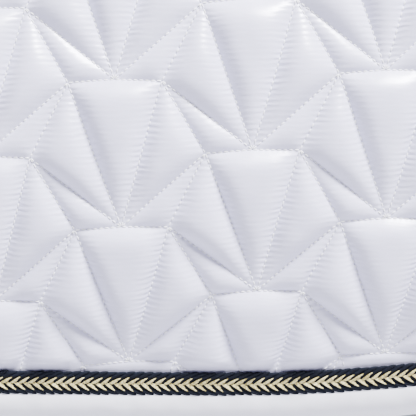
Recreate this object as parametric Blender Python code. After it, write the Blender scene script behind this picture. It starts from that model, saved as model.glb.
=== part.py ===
"""Quilted saddle pad: two padded flaps that fold about a taped spine.

Metres, +Z up. X runs from the front (-X, the horse's neck) to the rear, and Y across the horse, with the
near-side (left) flap at -Y. The origin is the middle of the flat underside of the spine, which rests on
the back or on a rack. Each flap is drawn flat, u along X and v down from its fold, and then hung on an arc.
"""

import math

import bmesh
import bpy
from mathutils import Vector

MM = 0.001

# Spine: the strip between the two fold lines.
SPINE_HALF_LENGTH = 283 * MM
SPINE_HALF_WIDTH = 15 * MM
SPINE_TAPE_THICKNESS = 1.0 * MM
SEAM_CORE_HALF_WIDTH = 11 * MM
SEAM_CORE_THICKNESS = 3.2 * MM
SPINE_CROWN = 1.2 * MM
FOLD_Y = 17 * MM
FOLD_Z = 3.2 * MM

# Drape: every flap hangs on one arc, which leaves the fold at this slope below the horizontal.
DRAPE_RADIUS = 430 * MM
FOLD_SLOPE = math.radians(38)

# Cut of a flap, (u, v, fillet radius) round the piece from the front of the fold.
FLAP_CORNERS = (
    (-285 * MM, 1 * MM, 0.0),
    (-300 * MM, 472 * MM, 80 * MM),
    (103 * MM, 492 * MM, 840 * MM),
    (300 * MM, 470 * MM, 110 * MM),
    (285 * MM, 1 * MM, 0.0),
)
FOLD_EDGE_V = 1 * MM
FOLD_STRIP_V = 15 * MM
SIDE_STEP = 66 * MM
ARC_STEP = math.radians(22)

# Layers of a flap. The stack is thin where it is sewn down and thick where it is puffed up.
FABRIC = 0.5 * MM
GAP = 0.3 * MM
SEWN_HALF = 2.2 * MM
PUFFED_HALF = 6.0 * MM
SEWN_WIDTH = 33 * MM
PUFFED_FROM = 46 * MM
INNER_LOOPS = (0.86, 0.72, 0.58, 0.44, 0.3, 0.15)

# Edge trim, measured inwards from the cut edge.
BINDING_WIDTH = 20 * MM
BINDING_THICKNESS = 0.6 * MM
BRAID_WIDTH = 12 * MM
BRAID_HEIGHT = 2.6 * MM
BRAID_GROOVE_DEPTH = 0.9 * MM
BRAID_GROOVE_WIDTH = 6.2 * MM
GOLD_HEIGHT = 1.6 * MM
TRIM_START_V = 3 * MM
INSETS = (0.0, BINDING_WIDTH, SEWN_WIDTH, PUFFED_FROM)

# Girth keeper: a webbing loop sewn down at both ends, with the girth passing behind it.
KEEPER_CENTRE = (-150 * MM, 350 * MM)
KEEPER_LENGTH = 130 * MM
KEEPER_HEIGHT = 40 * MM
KEEPER_TAB = 20 * MM
KEEPER_BOW = 14 * MM
WEBBING = 1.6 * MM

# Billet strap: sewn at its top, round an eye at its foot and back up to a hook-and-loop closure.
STRAP_U = -170 * MM
STRAP_WIDTH = 25 * MM
STRAP_TOP_V = 72 * MM
STRAP_FOOT_V = 182 * MM
STRAP_EYE_V = 160 * MM
STRAP_EYE_RADIUS = 4.8 * MM
EYE_NECK = 7 * MM
TONGUE_TOP_V = 88 * MM
TAPE = 1.0 * MM
TAPE_TOP_V = 94 * MM
TAPE_FOOT_V = 148 * MM

# Care label, sewn under the binding on the lining side of the near-side flap.
LABEL_U = 205 * MM
LABEL_FOOT_V = 458 * MM
LABEL_SIZE = (28 * MM, 42 * MM, 0.6 * MM)
LABEL_GAP = 1.5 * MM

SIDES = {"left": -1, "right": 1}


def make_material(name, colour, roughness, metallic=0.0):
    """A plain Principled material."""
    material = bpy.data.materials.new(name)
    material.use_nodes = True
    shader = material.node_tree.nodes["Principled BSDF"]
    shader.inputs["Base Color"].default_value = (*colour, 1.0)
    shader.inputs["Roughness"].default_value = roughness
    shader.inputs["Metallic"].default_value = metallic
    return material


def make_materials():
    """Every finish of the pad, by name."""
    return {
        "satin": make_material("satin", (0.80, 0.80, 0.84), 0.38),
        "wadding": make_material("wadding", (0.86, 0.86, 0.85), 0.95),
        "lining": make_material("lining", (0.78, 0.78, 0.79), 0.85),
        "binding": make_material("binding", (0.76, 0.76, 0.81), 0.6),
        "navy_yarn": make_material("navy_yarn", (0.012, 0.015, 0.025), 0.7),
        "gold_yarn": make_material("gold_yarn", (0.62, 0.54, 0.30), 0.4, 0.5),
        "webbing": make_material("webbing", (0.75, 0.75, 0.79), 0.7),
        "hook_tape": make_material("hook_tape", (0.70, 0.70, 0.73), 0.8),
        "label": make_material("label", (0.85, 0.85, 0.86), 0.5),
    }


def remove_everything():
    """Empties the scene."""
    for item in list(bpy.data.objects):
        bpy.data.objects.remove(item)


def finish(bm, name, material, parent):
    """Makes the node: bm's faces turned outwards, with its material, moved under its parent."""
    bmesh.ops.recalc_face_normals(bm, faces=bm.faces)
    bmesh.ops.triangulate(bm, faces=bm.faces, quad_method="SHORT_EDGE")
    mesh = bpy.data.meshes.new(name)
    bm.to_mesh(mesh)
    bm.free()
    mesh.shade_smooth()
    mesh.set_sharp_from_angle(angle=math.radians(35))
    mesh.materials.append(material)
    node = bpy.data.objects.new(name, mesh)
    bpy.context.scene.collection.objects.link(node)
    if parent is not None:
        mesh.transform(parent.matrix_world.inverted())
        node.parent = parent
    return node


def make_pivot(name, location, parent=None):
    """An empty on a joint's axis. Its children turn with it."""
    pivot = bpy.data.objects.new(name, None)
    bpy.context.scene.collection.objects.link(pivot)
    pivot.parent = parent
    pivot.location = Vector(location) - (parent.matrix_world.translation if parent else Vector())
    bpy.context.view_layer.update()
    return pivot


def on_flap(side, u, v, w):
    """The point u along the flap, v down from its fold and w proud of its middle surface, hung on its arc."""
    slope = FOLD_SLOPE + v / DRAPE_RADIUS
    radius = DRAPE_RADIUS + w
    y = FOLD_Y - DRAPE_RADIUS * math.sin(FOLD_SLOPE) + radius * math.sin(slope)
    z = FOLD_Z - DRAPE_RADIUS * math.cos(FOLD_SLOPE) + radius * math.cos(slope)
    return Vector((u, side * y, z))


def fillet(before, corner, after, radius):
    """Points and inward normals round one corner of the cut, as an arc or, with no radius, one mitred point."""
    arrive = (corner - before).normalized()
    leave = (after - corner).normalized()
    turn = arrive.angle_signed(leave)
    normal = Vector((arrive.y, -arrive.x))
    if radius == 0.0:
        bisector = (normal + Vector((leave.y, -leave.x))).normalized()
        return [(corner, bisector / math.cos(turn / 2))]
    start = corner - arrive * radius * math.tan(abs(turn) / 2)
    centre = start + normal * radius
    steps = max(2, round(abs(turn) / ARC_STEP))
    points = []
    for step in range(steps + 1):
        angle = abs(turn) * step / steps
        inward = normal * math.cos(angle) - arrive * math.sin(angle)
        points.append((centre - inward * radius, inward))
    return points


def cut_outline():
    """The flap's cut edge as (point, inward normal) pairs, from the front of the fold round to the rear."""
    corners = [Vector((u, v)) for u, v, _ in FLAP_CORNERS]
    corners_round = []
    for i, (_, _, radius) in enumerate(FLAP_CORNERS):
        after = corners[(i + 1) % len(corners)]
        corners_round.append(fillet(corners[i - 1], corners[i], after, radius))
    outline = []
    for i, points in enumerate(corners_round):
        outline += points
        start, normal = points[-1]
        end, next_normal = corners_round[(i + 1) % len(corners)][0]
        steps = max(1, round((end - start).length / SIDE_STEP))
        middle = Vector(((end - start).y, -(end - start).x)).normalized()
        outline += [(start.lerp(end, step / steps), middle) for step in range(1, steps)]
    return outline


def cut_stations():
    """The stations of the trimmed edge: the cut without its fold, starting and ending below the fold strip."""
    outline = cut_outline()
    rear = Vector(FLAP_CORNERS[-1][:2])
    last = next(i for i, (point, _) in enumerate(outline) if (point - rear).length < GAP)
    stations = outline[: last + 1]
    for i, inward in ((0, Vector((1, 0))), (last, Vector((-1, 0)))):
        stations[i] = (Vector((stations[i][0].x, FOLD_STRIP_V)), inward)
    return stations


def trim_outline():
    """The trimmed edge from one end of the fold to the other."""
    stations = cut_stations()
    front, rear = stations[0], stations[-1]
    start = (Vector((front[0].x, TRIM_START_V)), front[1])
    return [start] + stations + [(Vector((rear[0].x, TRIM_START_V)), rear[1])]


def sheet_loops(rise):
    """U-shaped loops of (u, v, w) from the trimmed edge to the middle of the fold.

    rise(d) is w at a distance d in from the edge. Each loop ends on the fold, where the stack is sewn flat.
    """
    outlines = [[p + n * inset for p, n in cut_stations()] for inset in INSETS]
    hub = Vector((0.0, FOLD_STRIP_V))
    outlines += [[hub.lerp(p, share) for p in outlines[-1]] for share in INNER_LOOPS]
    loops = []
    for i, outline in enumerate(outlines):
        w = rise(INSETS[min(i, len(INSETS) - 1)])
        loop = [(p.x, p.y, w) for p in outline]
        front, rear = ((outline[end].x, FOLD_EDGE_V, rise(0.0)) for end in (0, -1))
        loops.append([front] + loop + [rear])
    return loops


def puff(half_sewn, half_puffed):
    """A rise that grows from half_sewn to half_puffed over the slope beside the edge trim."""

    def rise(inset):
        share = min(max((inset - SEWN_WIDTH) / (PUFFED_FROM - SEWN_WIDTH), 0.0), 1.0)
        return half_sewn + (half_puffed - half_sewn) * share

    return rise


def add_sheet(bm, side, rise):
    """Adds one surface of a flap to bm and returns the vertices round its rim."""
    loops = [[bm.verts.new(on_flap(side, *point)) for point in loop] for loop in sheet_loops(rise)]
    for outer, inner in zip(loops, loops[1:]):
        for i in range(1, len(outer)):
            bm.faces.new((outer[i], outer[i - 1], inner[i - 1], inner[i]))
    fold = bm.verts.new(on_flap(side, 0.0, FOLD_EDGE_V, rise(0.0)))
    hub = bm.verts.new(on_flap(side, 0.0, FOLD_STRIP_V, rise(INSETS[-1])))
    inner = loops[-1]
    bm.faces.new((inner[1], inner[0], fold, hub))
    bm.faces.new((inner[-1], inner[-2], hub, fold))
    for i in range(2, len(inner) - 1):
        bm.faces.new((inner[i], inner[i - 1], hub))
    across_fold = [loop[-1] for loop in loops[1:]] + [fold] + [loop[0] for loop in reversed(loops[1:])]
    return loops[0] + across_fold


def make_layer(name, side, low, high, material, parent):
    """A closed layer of a flap between two surfaces."""
    bm = bmesh.new()
    under = add_sheet(bm, side, low)
    over = add_sheet(bm, side, high)
    for i, vert in enumerate(under):
        bm.faces.new((vert, under[i - 1], over[i - 1], over[i]))
    return finish(bm, name, material, parent)


def loft(name, rings, material, parent):
    """A closed solid through equal rings of points, capped at both ends."""
    bm = bmesh.new()
    sections = [[bm.verts.new(point) for point in ring] for ring in rings]
    for near, far in zip(sections, sections[1:]):
        for i, vert in enumerate(near):
            bm.faces.new((vert, near[i - 1], far[i - 1], far[i]))
    bm.faces.new(sections[0])
    bm.faces.new(reversed(sections[-1]))
    return finish(bm, name, material, parent)


def make_trim(name, side, profile, material, parent):
    """Sweeps a profile of (distance in from the edge, w) round the flap's cut edge."""
    rings = []
    for point, normal in trim_outline():
        places = [(point + normal * inset, w) for inset, w in profile]
        rings.append([on_flap(side, place.x, place.y, w) for place, w in places])
    return loft(name, rings, material, parent)


def binding_profile(half):
    """The tape folded round the edge of a stack that is half thick on each side of w = 0."""
    inner = half + GAP
    outer = inner + BINDING_THICKNESS
    fold = -GAP - BINDING_THICKNESS
    crease = BINDING_THICKNESS
    leg = [(BINDING_WIDTH, outer), (BINDING_WIDTH, inner), (-GAP, inner)]
    back = [(-GAP, -inner), (BINDING_WIDTH, -inner), (BINDING_WIDTH, -outer)]
    bend = [(0.0, -outer), (fold, crease - outer), (fold, outer - crease), (0.0, outer)]
    return leg + back + bend


def braid_profile(base):
    """The flat braid beside the binding, with a groove down its middle for the metallic strands."""
    start = BINDING_WIDTH + GAP
    end = start + BRAID_WIDTH
    shoulder = (BRAID_WIDTH - BRAID_GROOVE_WIDTH) / 2
    top = base + BRAID_HEIGHT
    floor = top - BRAID_GROOVE_DEPTH
    edge = 0.6 * MM
    return [
        (start, base),
        (end, base),
        (end, top - edge),
        (end - edge, top),
        (end - shoulder, top),
        (end - shoulder, floor),
        (start + shoulder, floor),
        (start + shoulder, top),
        (start + edge, top),
        (start, top - edge),
    ]


def gold_profile(base):
    """The metallic strands, lying in the braid's groove and standing a little proud of it."""
    middle = BINDING_WIDTH + GAP + BRAID_WIDTH / 2
    half = BRAID_GROOVE_WIDTH / 2 - GAP
    floor = base + BRAID_HEIGHT - BRAID_GROOVE_DEPTH + GAP
    shoulder = floor + 0.6 * GOLD_HEIGHT
    return [
        (middle - half, floor),
        (middle + half, floor),
        (middle + half, shoulder),
        (middle, floor + GOLD_HEIGHT),
        (middle - half, shoulder),
    ]


def make_spine(materials):
    """The taped seam between the flaps, which rests on the horse's back."""
    core_z = SPINE_TAPE_THICKNESS + GAP
    cover_z = core_z + SEAM_CORE_THICKNESS + GAP

    def strip(name, half_length, outline, material):
        rings = [[Vector((x, y, z)) for y, z in outline] for x in (-half_length, half_length)]
        loft(name, rings, materials[material], None)

    def bar(half, low, high):
        return [(-half, low), (half, low), (half, high), (-half, high)]

    between_bindings = SPINE_HALF_LENGTH - BINDING_WIDTH - GAP
    strip("spine_tape_inner", between_bindings, bar(SPINE_HALF_WIDTH, 0.0, SPINE_TAPE_THICKNESS), "binding")
    core = bar(SEAM_CORE_HALF_WIDTH, core_z, core_z + SEAM_CORE_THICKNESS)
    strip("spine_seam_core", SPINE_HALF_LENGTH, core, "lining")
    steps = 6
    arch = []
    for low in (True, False):
        for step in range(steps + 1) if low else reversed(range(steps + 1)):
            y = SPINE_HALF_WIDTH * (2 * step / steps - 1)
            crown = SPINE_CROWN * (1 - (y / SPINE_HALF_WIDTH) ** 2)
            arch.append((y, cover_z + crown + (0.0 if low else SPINE_TAPE_THICKNESS)))
    strip("spine_tape_outer", SPINE_HALF_LENGTH, arch, "binding")
    return cover_z + SPINE_TAPE_THICKNESS


def make_spine_ends(materials, tape_top):
    """Binding and braid where they cross the spine at its front and rear ends."""
    half = SPINE_HALF_WIDTH - GAP
    over = tape_top + SPINE_CROWN + GAP
    top = over + BINDING_THICKNESS
    under = SPINE_TAPE_THICKNESS
    low = under - BINDING_THICKNESS
    tail = SPINE_HALF_LENGTH + GAP
    fold = tail + BINDING_THICKNESS
    inner_end = SPINE_HALF_LENGTH - BINDING_WIDTH
    braid_start = inner_end - GAP - BRAID_WIDTH
    edge = 0.6 * MM
    binding = [
        (inner_end, top),
        (inner_end, over),
        (tail, over),
        (tail, under),
        (inner_end, under),
        (inner_end, low),
        (fold - edge, low),
        (fold, under),
        (fold, over),
        (fold - edge, top),
    ]
    shoulder = (BRAID_WIDTH - BRAID_GROOVE_WIDTH) / 2
    floor = over + BRAID_HEIGHT - BRAID_GROOVE_DEPTH
    braid = [
        (braid_start, over),
        (braid_start + BRAID_WIDTH, over),
        (braid_start + BRAID_WIDTH, over + BRAID_HEIGHT),
        (braid_start + BRAID_WIDTH - shoulder, over + BRAID_HEIGHT),
        (braid_start + BRAID_WIDTH - shoulder, floor),
        (braid_start + shoulder, floor),
        (braid_start + shoulder, over + BRAID_HEIGHT),
        (braid_start, over + BRAID_HEIGHT),
    ]
    gold = [
        (braid_start + shoulder + GAP, floor + GAP),
        (braid_start + BRAID_WIDTH - shoulder - GAP, floor + GAP),
        (braid_start + BRAID_WIDTH / 2, floor + GAP + GOLD_HEIGHT),
    ]
    pieces = (("binding", binding, "binding"), ("navy_braid", braid, "navy_yarn"), ("gold_braid", gold, "gold_yarn"))
    for end, sign in (("front", -1), ("rear", 1)):
        for what, outline, material in pieces:
            rings = [[Vector((sign * x, y, z)) for x, z in outline] for y in (-half, half)]
            loft(f"spine_{end}_{what}", rings, materials[material], None)


def make_flap(label, side, materials, pivot):
    """Cover, wadding, lining and edge trim of one flap."""
    cover_low = puff(SEWN_HALF - FABRIC, PUFFED_HALF - FABRIC)
    core = puff(SEWN_HALF - FABRIC - GAP, PUFFED_HALF - FABRIC - GAP)

    def below(rise):
        return lambda inset: -rise(inset)

    cover_high = puff(SEWN_HALF, PUFFED_HALF)
    make_layer(f"{label}_cover", side, cover_low, cover_high, materials["satin"], pivot)
    make_layer(f"{label}_wadding", side, below(core), core, materials["wadding"], pivot)
    make_layer(f"{label}_lining", side, below(cover_high), below(cover_low), materials["lining"], pivot)

    base = SEWN_HALF + GAP
    make_trim(f"{label}_edge_binding", side, binding_profile(SEWN_HALF), materials["binding"], pivot)
    make_trim(f"{label}_navy_braid", side, braid_profile(base), materials["navy_yarn"], pivot)
    make_trim(f"{label}_gold_braid", side, gold_profile(base), materials["gold_yarn"], pivot)


def keeper_line():
    """(u, w) along the keeper: a sewn tab, a bowed span for the girth to pass behind, and a sewn tab."""
    seat = PUFFED_HALF + GAP
    half = KEEPER_LENGTH / 2
    span = half - KEEPER_TAB
    line = [(-half, seat), (-span, seat)]
    steps = 10
    for step in range(1, steps):
        share = step / steps
        rise = math.sin(math.pi * share) ** 0.45
        line.append((-span + 2 * span * share, seat + KEEPER_BOW * rise))
    return line + [(span, seat), (half, seat)]


def make_girth_keeper(label, side, materials, pivot):
    """The webbing loop that the girth passes behind."""
    centre_u, centre_v = KEEPER_CENTRE
    low_v, high_v = centre_v - KEEPER_HEIGHT / 2, centre_v + KEEPER_HEIGHT / 2
    rings = []
    for u, w in keeper_line():
        section = ((low_v, w), (centre_v, w), (high_v, w))
        back = [on_flap(side, centre_u + u, v, w) for v, w in section]
        front = [on_flap(side, centre_u + u, v, w + WEBBING) for v, w in reversed(section)]
        rings.append(back + front)
    loft(f"{label}_girth_keeper", rings, materials["webbing"], pivot)


def strap_solid(name, side, line, thickness, material, parent):
    """Webbing or tape of the strap's width through (v, w) points, its thickness laid to the left of the line."""
    half = STRAP_WIDTH / 2
    rings = []
    for i, place in enumerate(line):
        before, after = line[max(i - 1, 0)], line[min(i + 1, len(line) - 1)]
        along = (after - before).normalized()
        out = place + Vector((-along.y, along.x)) * thickness
        ends = [(STRAP_U + u, p) for u, p in ((-half, place), (half, place), (half, out), (-half, out))]
        rings.append([on_flap(side, u, p.x, p.y) for u, p in ends])
    return loft(name, rings, material, parent)


def straight(start, end, steps):
    """Evenly spaced (v, w) points from start to end."""
    return [Vector(start).lerp(Vector(end), step / steps) for step in range(steps + 1)]


def strap_heights():
    """Undersides of the closed strap's layers: webbing, loop tape, hook tape and webbing again."""
    base = PUFFED_HALF + GAP
    loop = base + WEBBING + GAP
    hook = loop + TAPE + GAP
    return base, loop, hook, hook + TAPE + GAP


def tongue_fold():
    """(v, w) of the crease where the tongue leaves the eye, just off the webbing's outer face."""
    return STRAP_EYE_V, strap_heights()[3] + WEBBING + GAP / 2


def make_billet_strap(label, side, materials, pivot):
    """The billet strap: its sewn leg with the eye, its free tongue, and the closure between them."""
    base, loop, hook, tongue = strap_heights()
    eye_v = STRAP_FOOT_V - STRAP_EYE_RADIUS - WEBBING
    eye_w = base + WEBBING + STRAP_EYE_RADIUS
    leg = straight((STRAP_TOP_V, base + WEBBING), (eye_v, base + WEBBING), 6)
    bulb = []
    steps = 8
    for step in range(1, steps + 1):
        angle = math.pi * (0.5 - step / steps)
        bulb.append(Vector((eye_v + STRAP_EYE_RADIUS * math.cos(angle), eye_w - STRAP_EYE_RADIUS * math.sin(angle))))
    back = [Vector((STRAP_EYE_V + EYE_NECK, tongue)), Vector((STRAP_EYE_V + GAP, tongue))]
    strap_solid(f"{label}_strap_base", side, leg + bulb + back, -WEBBING, materials["webbing"], pivot)
    tape = straight((TAPE_TOP_V, loop), (TAPE_FOOT_V, loop), 3)
    strap_solid(f"{label}_strap_loop_tape", side, tape, TAPE, materials["hook_tape"], pivot)

    fold_v, fold_w = tongue_fold()
    fold = make_pivot(f"{label}_tongue_pivot", on_flap(side, STRAP_U, fold_v, fold_w), pivot)
    free = straight((TONGUE_TOP_V, tongue), (STRAP_EYE_V - GAP, tongue), 4)
    strap_solid(f"{label}_strap_tongue", side, free, WEBBING, materials["webbing"], fold)
    tape = straight((TAPE_TOP_V, hook), (TAPE_FOOT_V, hook), 3)
    strap_solid(f"{label}_strap_hook_tape", side, tape, TAPE, materials["hook_tape"], fold)


def make_care_label(side, materials, pivot):
    """The blank label that hangs from the binding on the lining side."""
    width, length, thickness = LABEL_SIZE
    line = (
        (LABEL_FOOT_V, -SEWN_HALF - LABEL_GAP),
        (LABEL_FOOT_V - PUFFED_FROM + BINDING_WIDTH, -PUFFED_HALF - LABEL_GAP),
        (LABEL_FOOT_V - length, -PUFFED_HALF - LABEL_GAP),
    )
    rings = []
    for v, w in line:
        corners = ((-width / 2, w), (width / 2, w), (width / 2, w - thickness), (-width / 2, w - thickness))
        rings.append([on_flap(side, LABEL_U + u, v, depth) for u, depth in corners])
    loft("care_label", rings, materials["label"], pivot)


def main():
    """Builds the whole pad."""
    remove_everything()
    materials = make_materials()
    tape_top = make_spine(materials)
    make_spine_ends(materials, tape_top)
    for label, side in SIDES.items():
        pivot = make_pivot(f"{label}_fold_pivot", (0.0, side * FOLD_Y, FOLD_Z))
        make_flap(label, side, materials, pivot)
        make_girth_keeper(label, side, materials, pivot)
        make_billet_strap(label, side, materials, pivot)
        if label == "left":
            make_care_label(side, materials, pivot)


main()
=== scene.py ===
"""Looks of a quilted satin saddle pad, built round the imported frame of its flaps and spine.

Everything on a flap is first laid out flat, with u along the pad, v down from the fold and w above the
flap's middle surface, in metres, and is then hung on the arc that the frame's flaps follow.
"""

import logging
import math
from dataclasses import dataclass, field
from enum import Enum
from typing import Callable, Iterable, Sequence

import bmesh
import bpy
import numpy as np
from mathutils import Matrix, Vector
from mathutils.geometry import delaunay_2d_cdt


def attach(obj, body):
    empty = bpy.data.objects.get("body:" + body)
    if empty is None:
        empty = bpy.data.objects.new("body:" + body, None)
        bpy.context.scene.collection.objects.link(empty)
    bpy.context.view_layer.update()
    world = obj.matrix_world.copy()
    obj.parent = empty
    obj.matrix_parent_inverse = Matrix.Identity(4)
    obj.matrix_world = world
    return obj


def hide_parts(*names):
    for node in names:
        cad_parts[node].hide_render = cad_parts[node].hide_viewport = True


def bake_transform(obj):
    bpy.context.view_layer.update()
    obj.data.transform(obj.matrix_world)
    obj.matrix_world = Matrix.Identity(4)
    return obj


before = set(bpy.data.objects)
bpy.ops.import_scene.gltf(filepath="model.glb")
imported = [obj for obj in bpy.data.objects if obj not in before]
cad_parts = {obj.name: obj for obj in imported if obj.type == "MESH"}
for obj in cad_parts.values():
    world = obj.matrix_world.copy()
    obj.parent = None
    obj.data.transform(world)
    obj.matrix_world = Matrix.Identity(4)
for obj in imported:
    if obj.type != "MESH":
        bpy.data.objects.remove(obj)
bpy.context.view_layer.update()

MM = 0.001
STITCH_PITCH = 3.0 * MM
LOG = logging.getLogger("saddle_pad")
Array = np.ndarray
Pair = tuple[float, float]
Triple = tuple[float, float, float]
Master = tuple[Array, Array]


class Side(Enum):
    """The two flaps, by the sign of their Y."""

    LEFT = -1
    RIGHT = 1

    @property
    def label(self) -> str:
        """The start of the names of the frame's nodes and bodies on this side."""
        return self.name.lower()


class Face(Enum):
    """The two faces of a flap, by the sign of w."""

    OUTER = 1
    INNER = -1


def smoothstep(low: float, high: float, x: Array) -> Array:
    """A smooth ramp.

    Args:
        low: where it is 0.
        high: where it is 1.
        x: the values to ramp.

    Returns:
        The ramp at each value.
    """
    t = np.clip((np.asarray(x, float) - low) / (high - low), 0.0, 1.0)
    return t * t * (3.0 - 2.0 * t)


def wander(u: Array, v: Array, seed: float, size: float) -> Array:
    """A soft, repeatable unevenness.

    Args:
        u: flat positions along the pad.
        v: flat positions down the flap.
        seed: which unevenness.
        size: its typical wavelength, in metres.

    Returns:
        Values from about -1 to 1.
    """
    k = 2 * math.pi / size
    waves = (
        np.sin(k * (0.93 * u + 0.31 * v) + 1.7 * seed),
        np.sin(k * (-0.42 * u + 1.07 * v) + 2.9 * seed + 1.3),
        np.sin(k * (1.61 * u - 1.23 * v) + 4.1 * seed + 0.4) * 0.6,
    )
    return sum(waves) / 2.6


def travelled(line: Array) -> Array:
    """The distance along a line at each of its points."""
    steps = np.linalg.norm(np.diff(line, axis=0), axis=1)
    return np.concatenate([[0.0], np.cumsum(steps)])


# ---------------------------------------------------------------- the flat layout and how it hangs


@dataclass(frozen=True)
class Drape:
    """How the flat layout hangs on one side: an arc below the fold, easing onto the spine above it."""

    side: Side
    radius: float = 430 * MM
    slope: float = math.radians(38)
    fold_y: float = 17 * MM
    fold_z: float = 3.2 * MM
    ease_v: float = 6 * MM
    middle_v: float = -16.6 * MM
    middle_z: float = 4.15 * MM
    middle_stretch: float = 0.2

    def profile(self, v: Array) -> tuple[Array, Array, Array, Array]:
        """The middle surface's section.

        Args:
            v: distances down from the fold.

        Returns:
            y outwards and z of each point, and the y and z of its unit normal.
        """
        angle = self.slope + np.maximum(v, self.ease_v) / self.radius
        y = self.fold_y + self.radius * (np.sin(angle) - math.sin(self.slope))
        z = self.fold_z + self.radius * (np.cos(angle) - math.cos(self.slope))
        ty, tz = np.cos(angle), -np.sin(angle)
        reach = self.ease_v - self.middle_v
        t = np.clip((v - self.middle_v) / reach, 0.0, 1.0)
        h00, h01 = 2 * t**3 - 3 * t**2 + 1, -2 * t**3 + 3 * t**2
        h10, h11 = t**3 - 2 * t**2 + t, t**3 - t**2
        d00, d01 = 6 * t**2 - 6 * t, -6 * t**2 + 6 * t
        d10, d11 = 3 * t**2 - 4 * t + 1, 3 * t**2 - 2 * t
        eased = v < self.ease_v
        end_ty, end_tz = ty * reach, tz * reach
        ey = h10 * reach + h01 * y + h11 * end_ty
        ez = h00 * self.middle_z + h01 * z + h11 * end_tz
        dy = d10 * reach + d01 * y + d11 * end_ty
        dz = d00 * self.middle_z + d01 * z + d11 * end_tz
        length = np.hypot(dy, dz)
        y, z = np.where(eased, ey, y), np.where(eased, ez, z)
        ty, tz = np.where(eased, dy / length, ty), np.where(eased, dz / length, tz)
        return y, z, -tz, ty

    def place(self, u: Array, v: Array, w: Array) -> Array:
        """Hangs flat points.

        Args:
            u: positions along the pad.
            v: positions down the flap.
            w: heights above its middle surface.

        Returns:
            The points in the row frame, one row each.
        """
        u, v, w = np.broadcast_arrays(np.asarray(u, float), np.asarray(v, float), np.asarray(w, float))
        y, z, ny, nz = self.profile(v)
        share = np.clip((self.ease_v - v) / (self.ease_v - self.middle_v), 0.0, 1.0)
        height = w * (1.0 + self.middle_stretch * share)
        return np.stack([u, self.side.value * (y + ny * height), z + nz * height], -1)


@dataclass(frozen=True)
class Cut:
    """The cut edge of a flap, trimmed along its front, bottom and rear."""

    corners: tuple[Triple, ...] = (
        (-284 * MM, -16.6 * MM, 0.0),
        (-285 * MM, 1 * MM, 0.0),
        (-300 * MM, 472 * MM, 80 * MM),
        (103 * MM, 492 * MM, 840 * MM),
        (300 * MM, 470 * MM, 110 * MM),
        (285 * MM, 1 * MM, 0.0),
        (284 * MM, -16.6 * MM, 0.0),
    )
    arc_step: float = math.radians(2.5)
    line_step: float = 12 * MM
    batch: int = 20000

    def _points(self) -> Array:
        """The trimmed edge's points, close together along its straight runs and round its corners."""
        points = [Vector(self.corners[0][:2])]
        for before, corner, after in zip(self.corners, self.corners[1:], self.corners[2:]):
            a, b, c = (Vector(p[:2]) for p in (before, corner, after))
            arrive, leave = (b - a).normalized(), (c - b).normalized()
            turn = abs(arrive.angle_signed(leave))
            if corner[2] == 0.0:
                points.append(b)
                continue
            inward = Vector((arrive.y, -arrive.x))
            centre = b - arrive * corner[2] * math.tan(turn / 2) + inward * corner[2]
            steps = max(4, math.ceil(turn / self.arc_step))
            for i in range(steps + 1):
                angle = turn * i / steps
                points.append(centre - (inward * math.cos(angle) - arrive * math.sin(angle)) * corner[2])
        points.append(Vector(self.corners[-1][:2]))
        dense = [points[0]]
        for a, b in zip(points, points[1:]):
            steps = max(1, math.ceil((b - a).length / self.line_step))
            dense += [a.lerp(b, i / steps) for i in range(1, steps + 1)]
        return np.array(dense)

    def edge(self) -> tuple[Array, Array]:
        """The trimmed edge, from the spine's front end round to its rear end.

        Returns:
            Its points and their unit inward normals.
        """
        points = self._points()
        along = np.gradient(points, axis=0)
        along /= np.linalg.norm(along, axis=1)[:, None]
        return points, np.stack([along[:, 1], -along[:, 0]], -1)

    def inset(self, u: Array, v: Array) -> tuple[Array, Array]:
        """How far in from the trimmed edge points are.

        Args:
            u: flat positions along the pad.
            v: flat positions down the flap.

        Returns:
            Distances, negative outside, and the unit inward normal at the nearest edge.
        """
        points = self._points()
        steps = np.diff(points, axis=0)
        normals = np.stack([steps[:, 1], -steps[:, 0]], -1)
        normals /= np.linalg.norm(normals, axis=1)[:, None]
        offsets = (points[:-1] * normals).sum(1)
        where = np.stack([u, v], -1)
        distance, nearest = np.empty(len(where)), np.empty(len(where), int)
        for start in range(0, len(where), self.batch):
            part = slice(start, start + self.batch)
            all_distances = where[part] @ normals.T - offsets
            nearest[part] = all_distances.argmin(1)
            distance[part] = all_distances.min(1)
        return distance, normals[nearest]


@dataclass
class Ribbon:
    """Places trim by distance along a flap's edge, distance in from it, and height."""

    drape: Drape
    cut: Cut
    centre: float
    length: float = field(init=False)

    def __post_init__(self) -> None:
        """Measures the ribbon's centre line."""
        self._points, self._normals = self.cut.edge()
        self._along = travelled(self._points + self._normals * self.centre)
        self.length = float(self._along[-1])

    def flat(self, s: Array, d: Array) -> tuple[Array, Array]:
        """Flat positions.

        Args:
            s: distances along the ribbon's centre line.
            d: distances in from the edge.

        Returns:
            u and v.
        """
        out = []
        for axis in (0, 1):
            base = np.interp(s, self._along, self._points[:, axis])
            normal = np.interp(s, self._along, self._normals[:, axis])
            out.append(base + normal * d)
        return out[0], out[1]

    def place(self, s: Array, d: Array, w: Array) -> Array:
        """Points in the row frame, from distances along and in, and heights."""
        u, v = self.flat(s, d)
        return self.drape.place(u, v, w)


# ---------------------------------------------------------------- modelling helpers


def lay_flat(mesh: bpy.types.Mesh, uv: Array) -> None:
    """Stores a flat position for each point of a mesh as its UV map."""
    loops = np.empty(len(mesh.loops), np.int32)
    mesh.loops.foreach_get("vertex_index", loops)
    layer = mesh.uv_layers.new(name="Flat")
    layer.data.foreach_set("uv", np.asarray(uv, np.float32)[loops].ravel())


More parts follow.
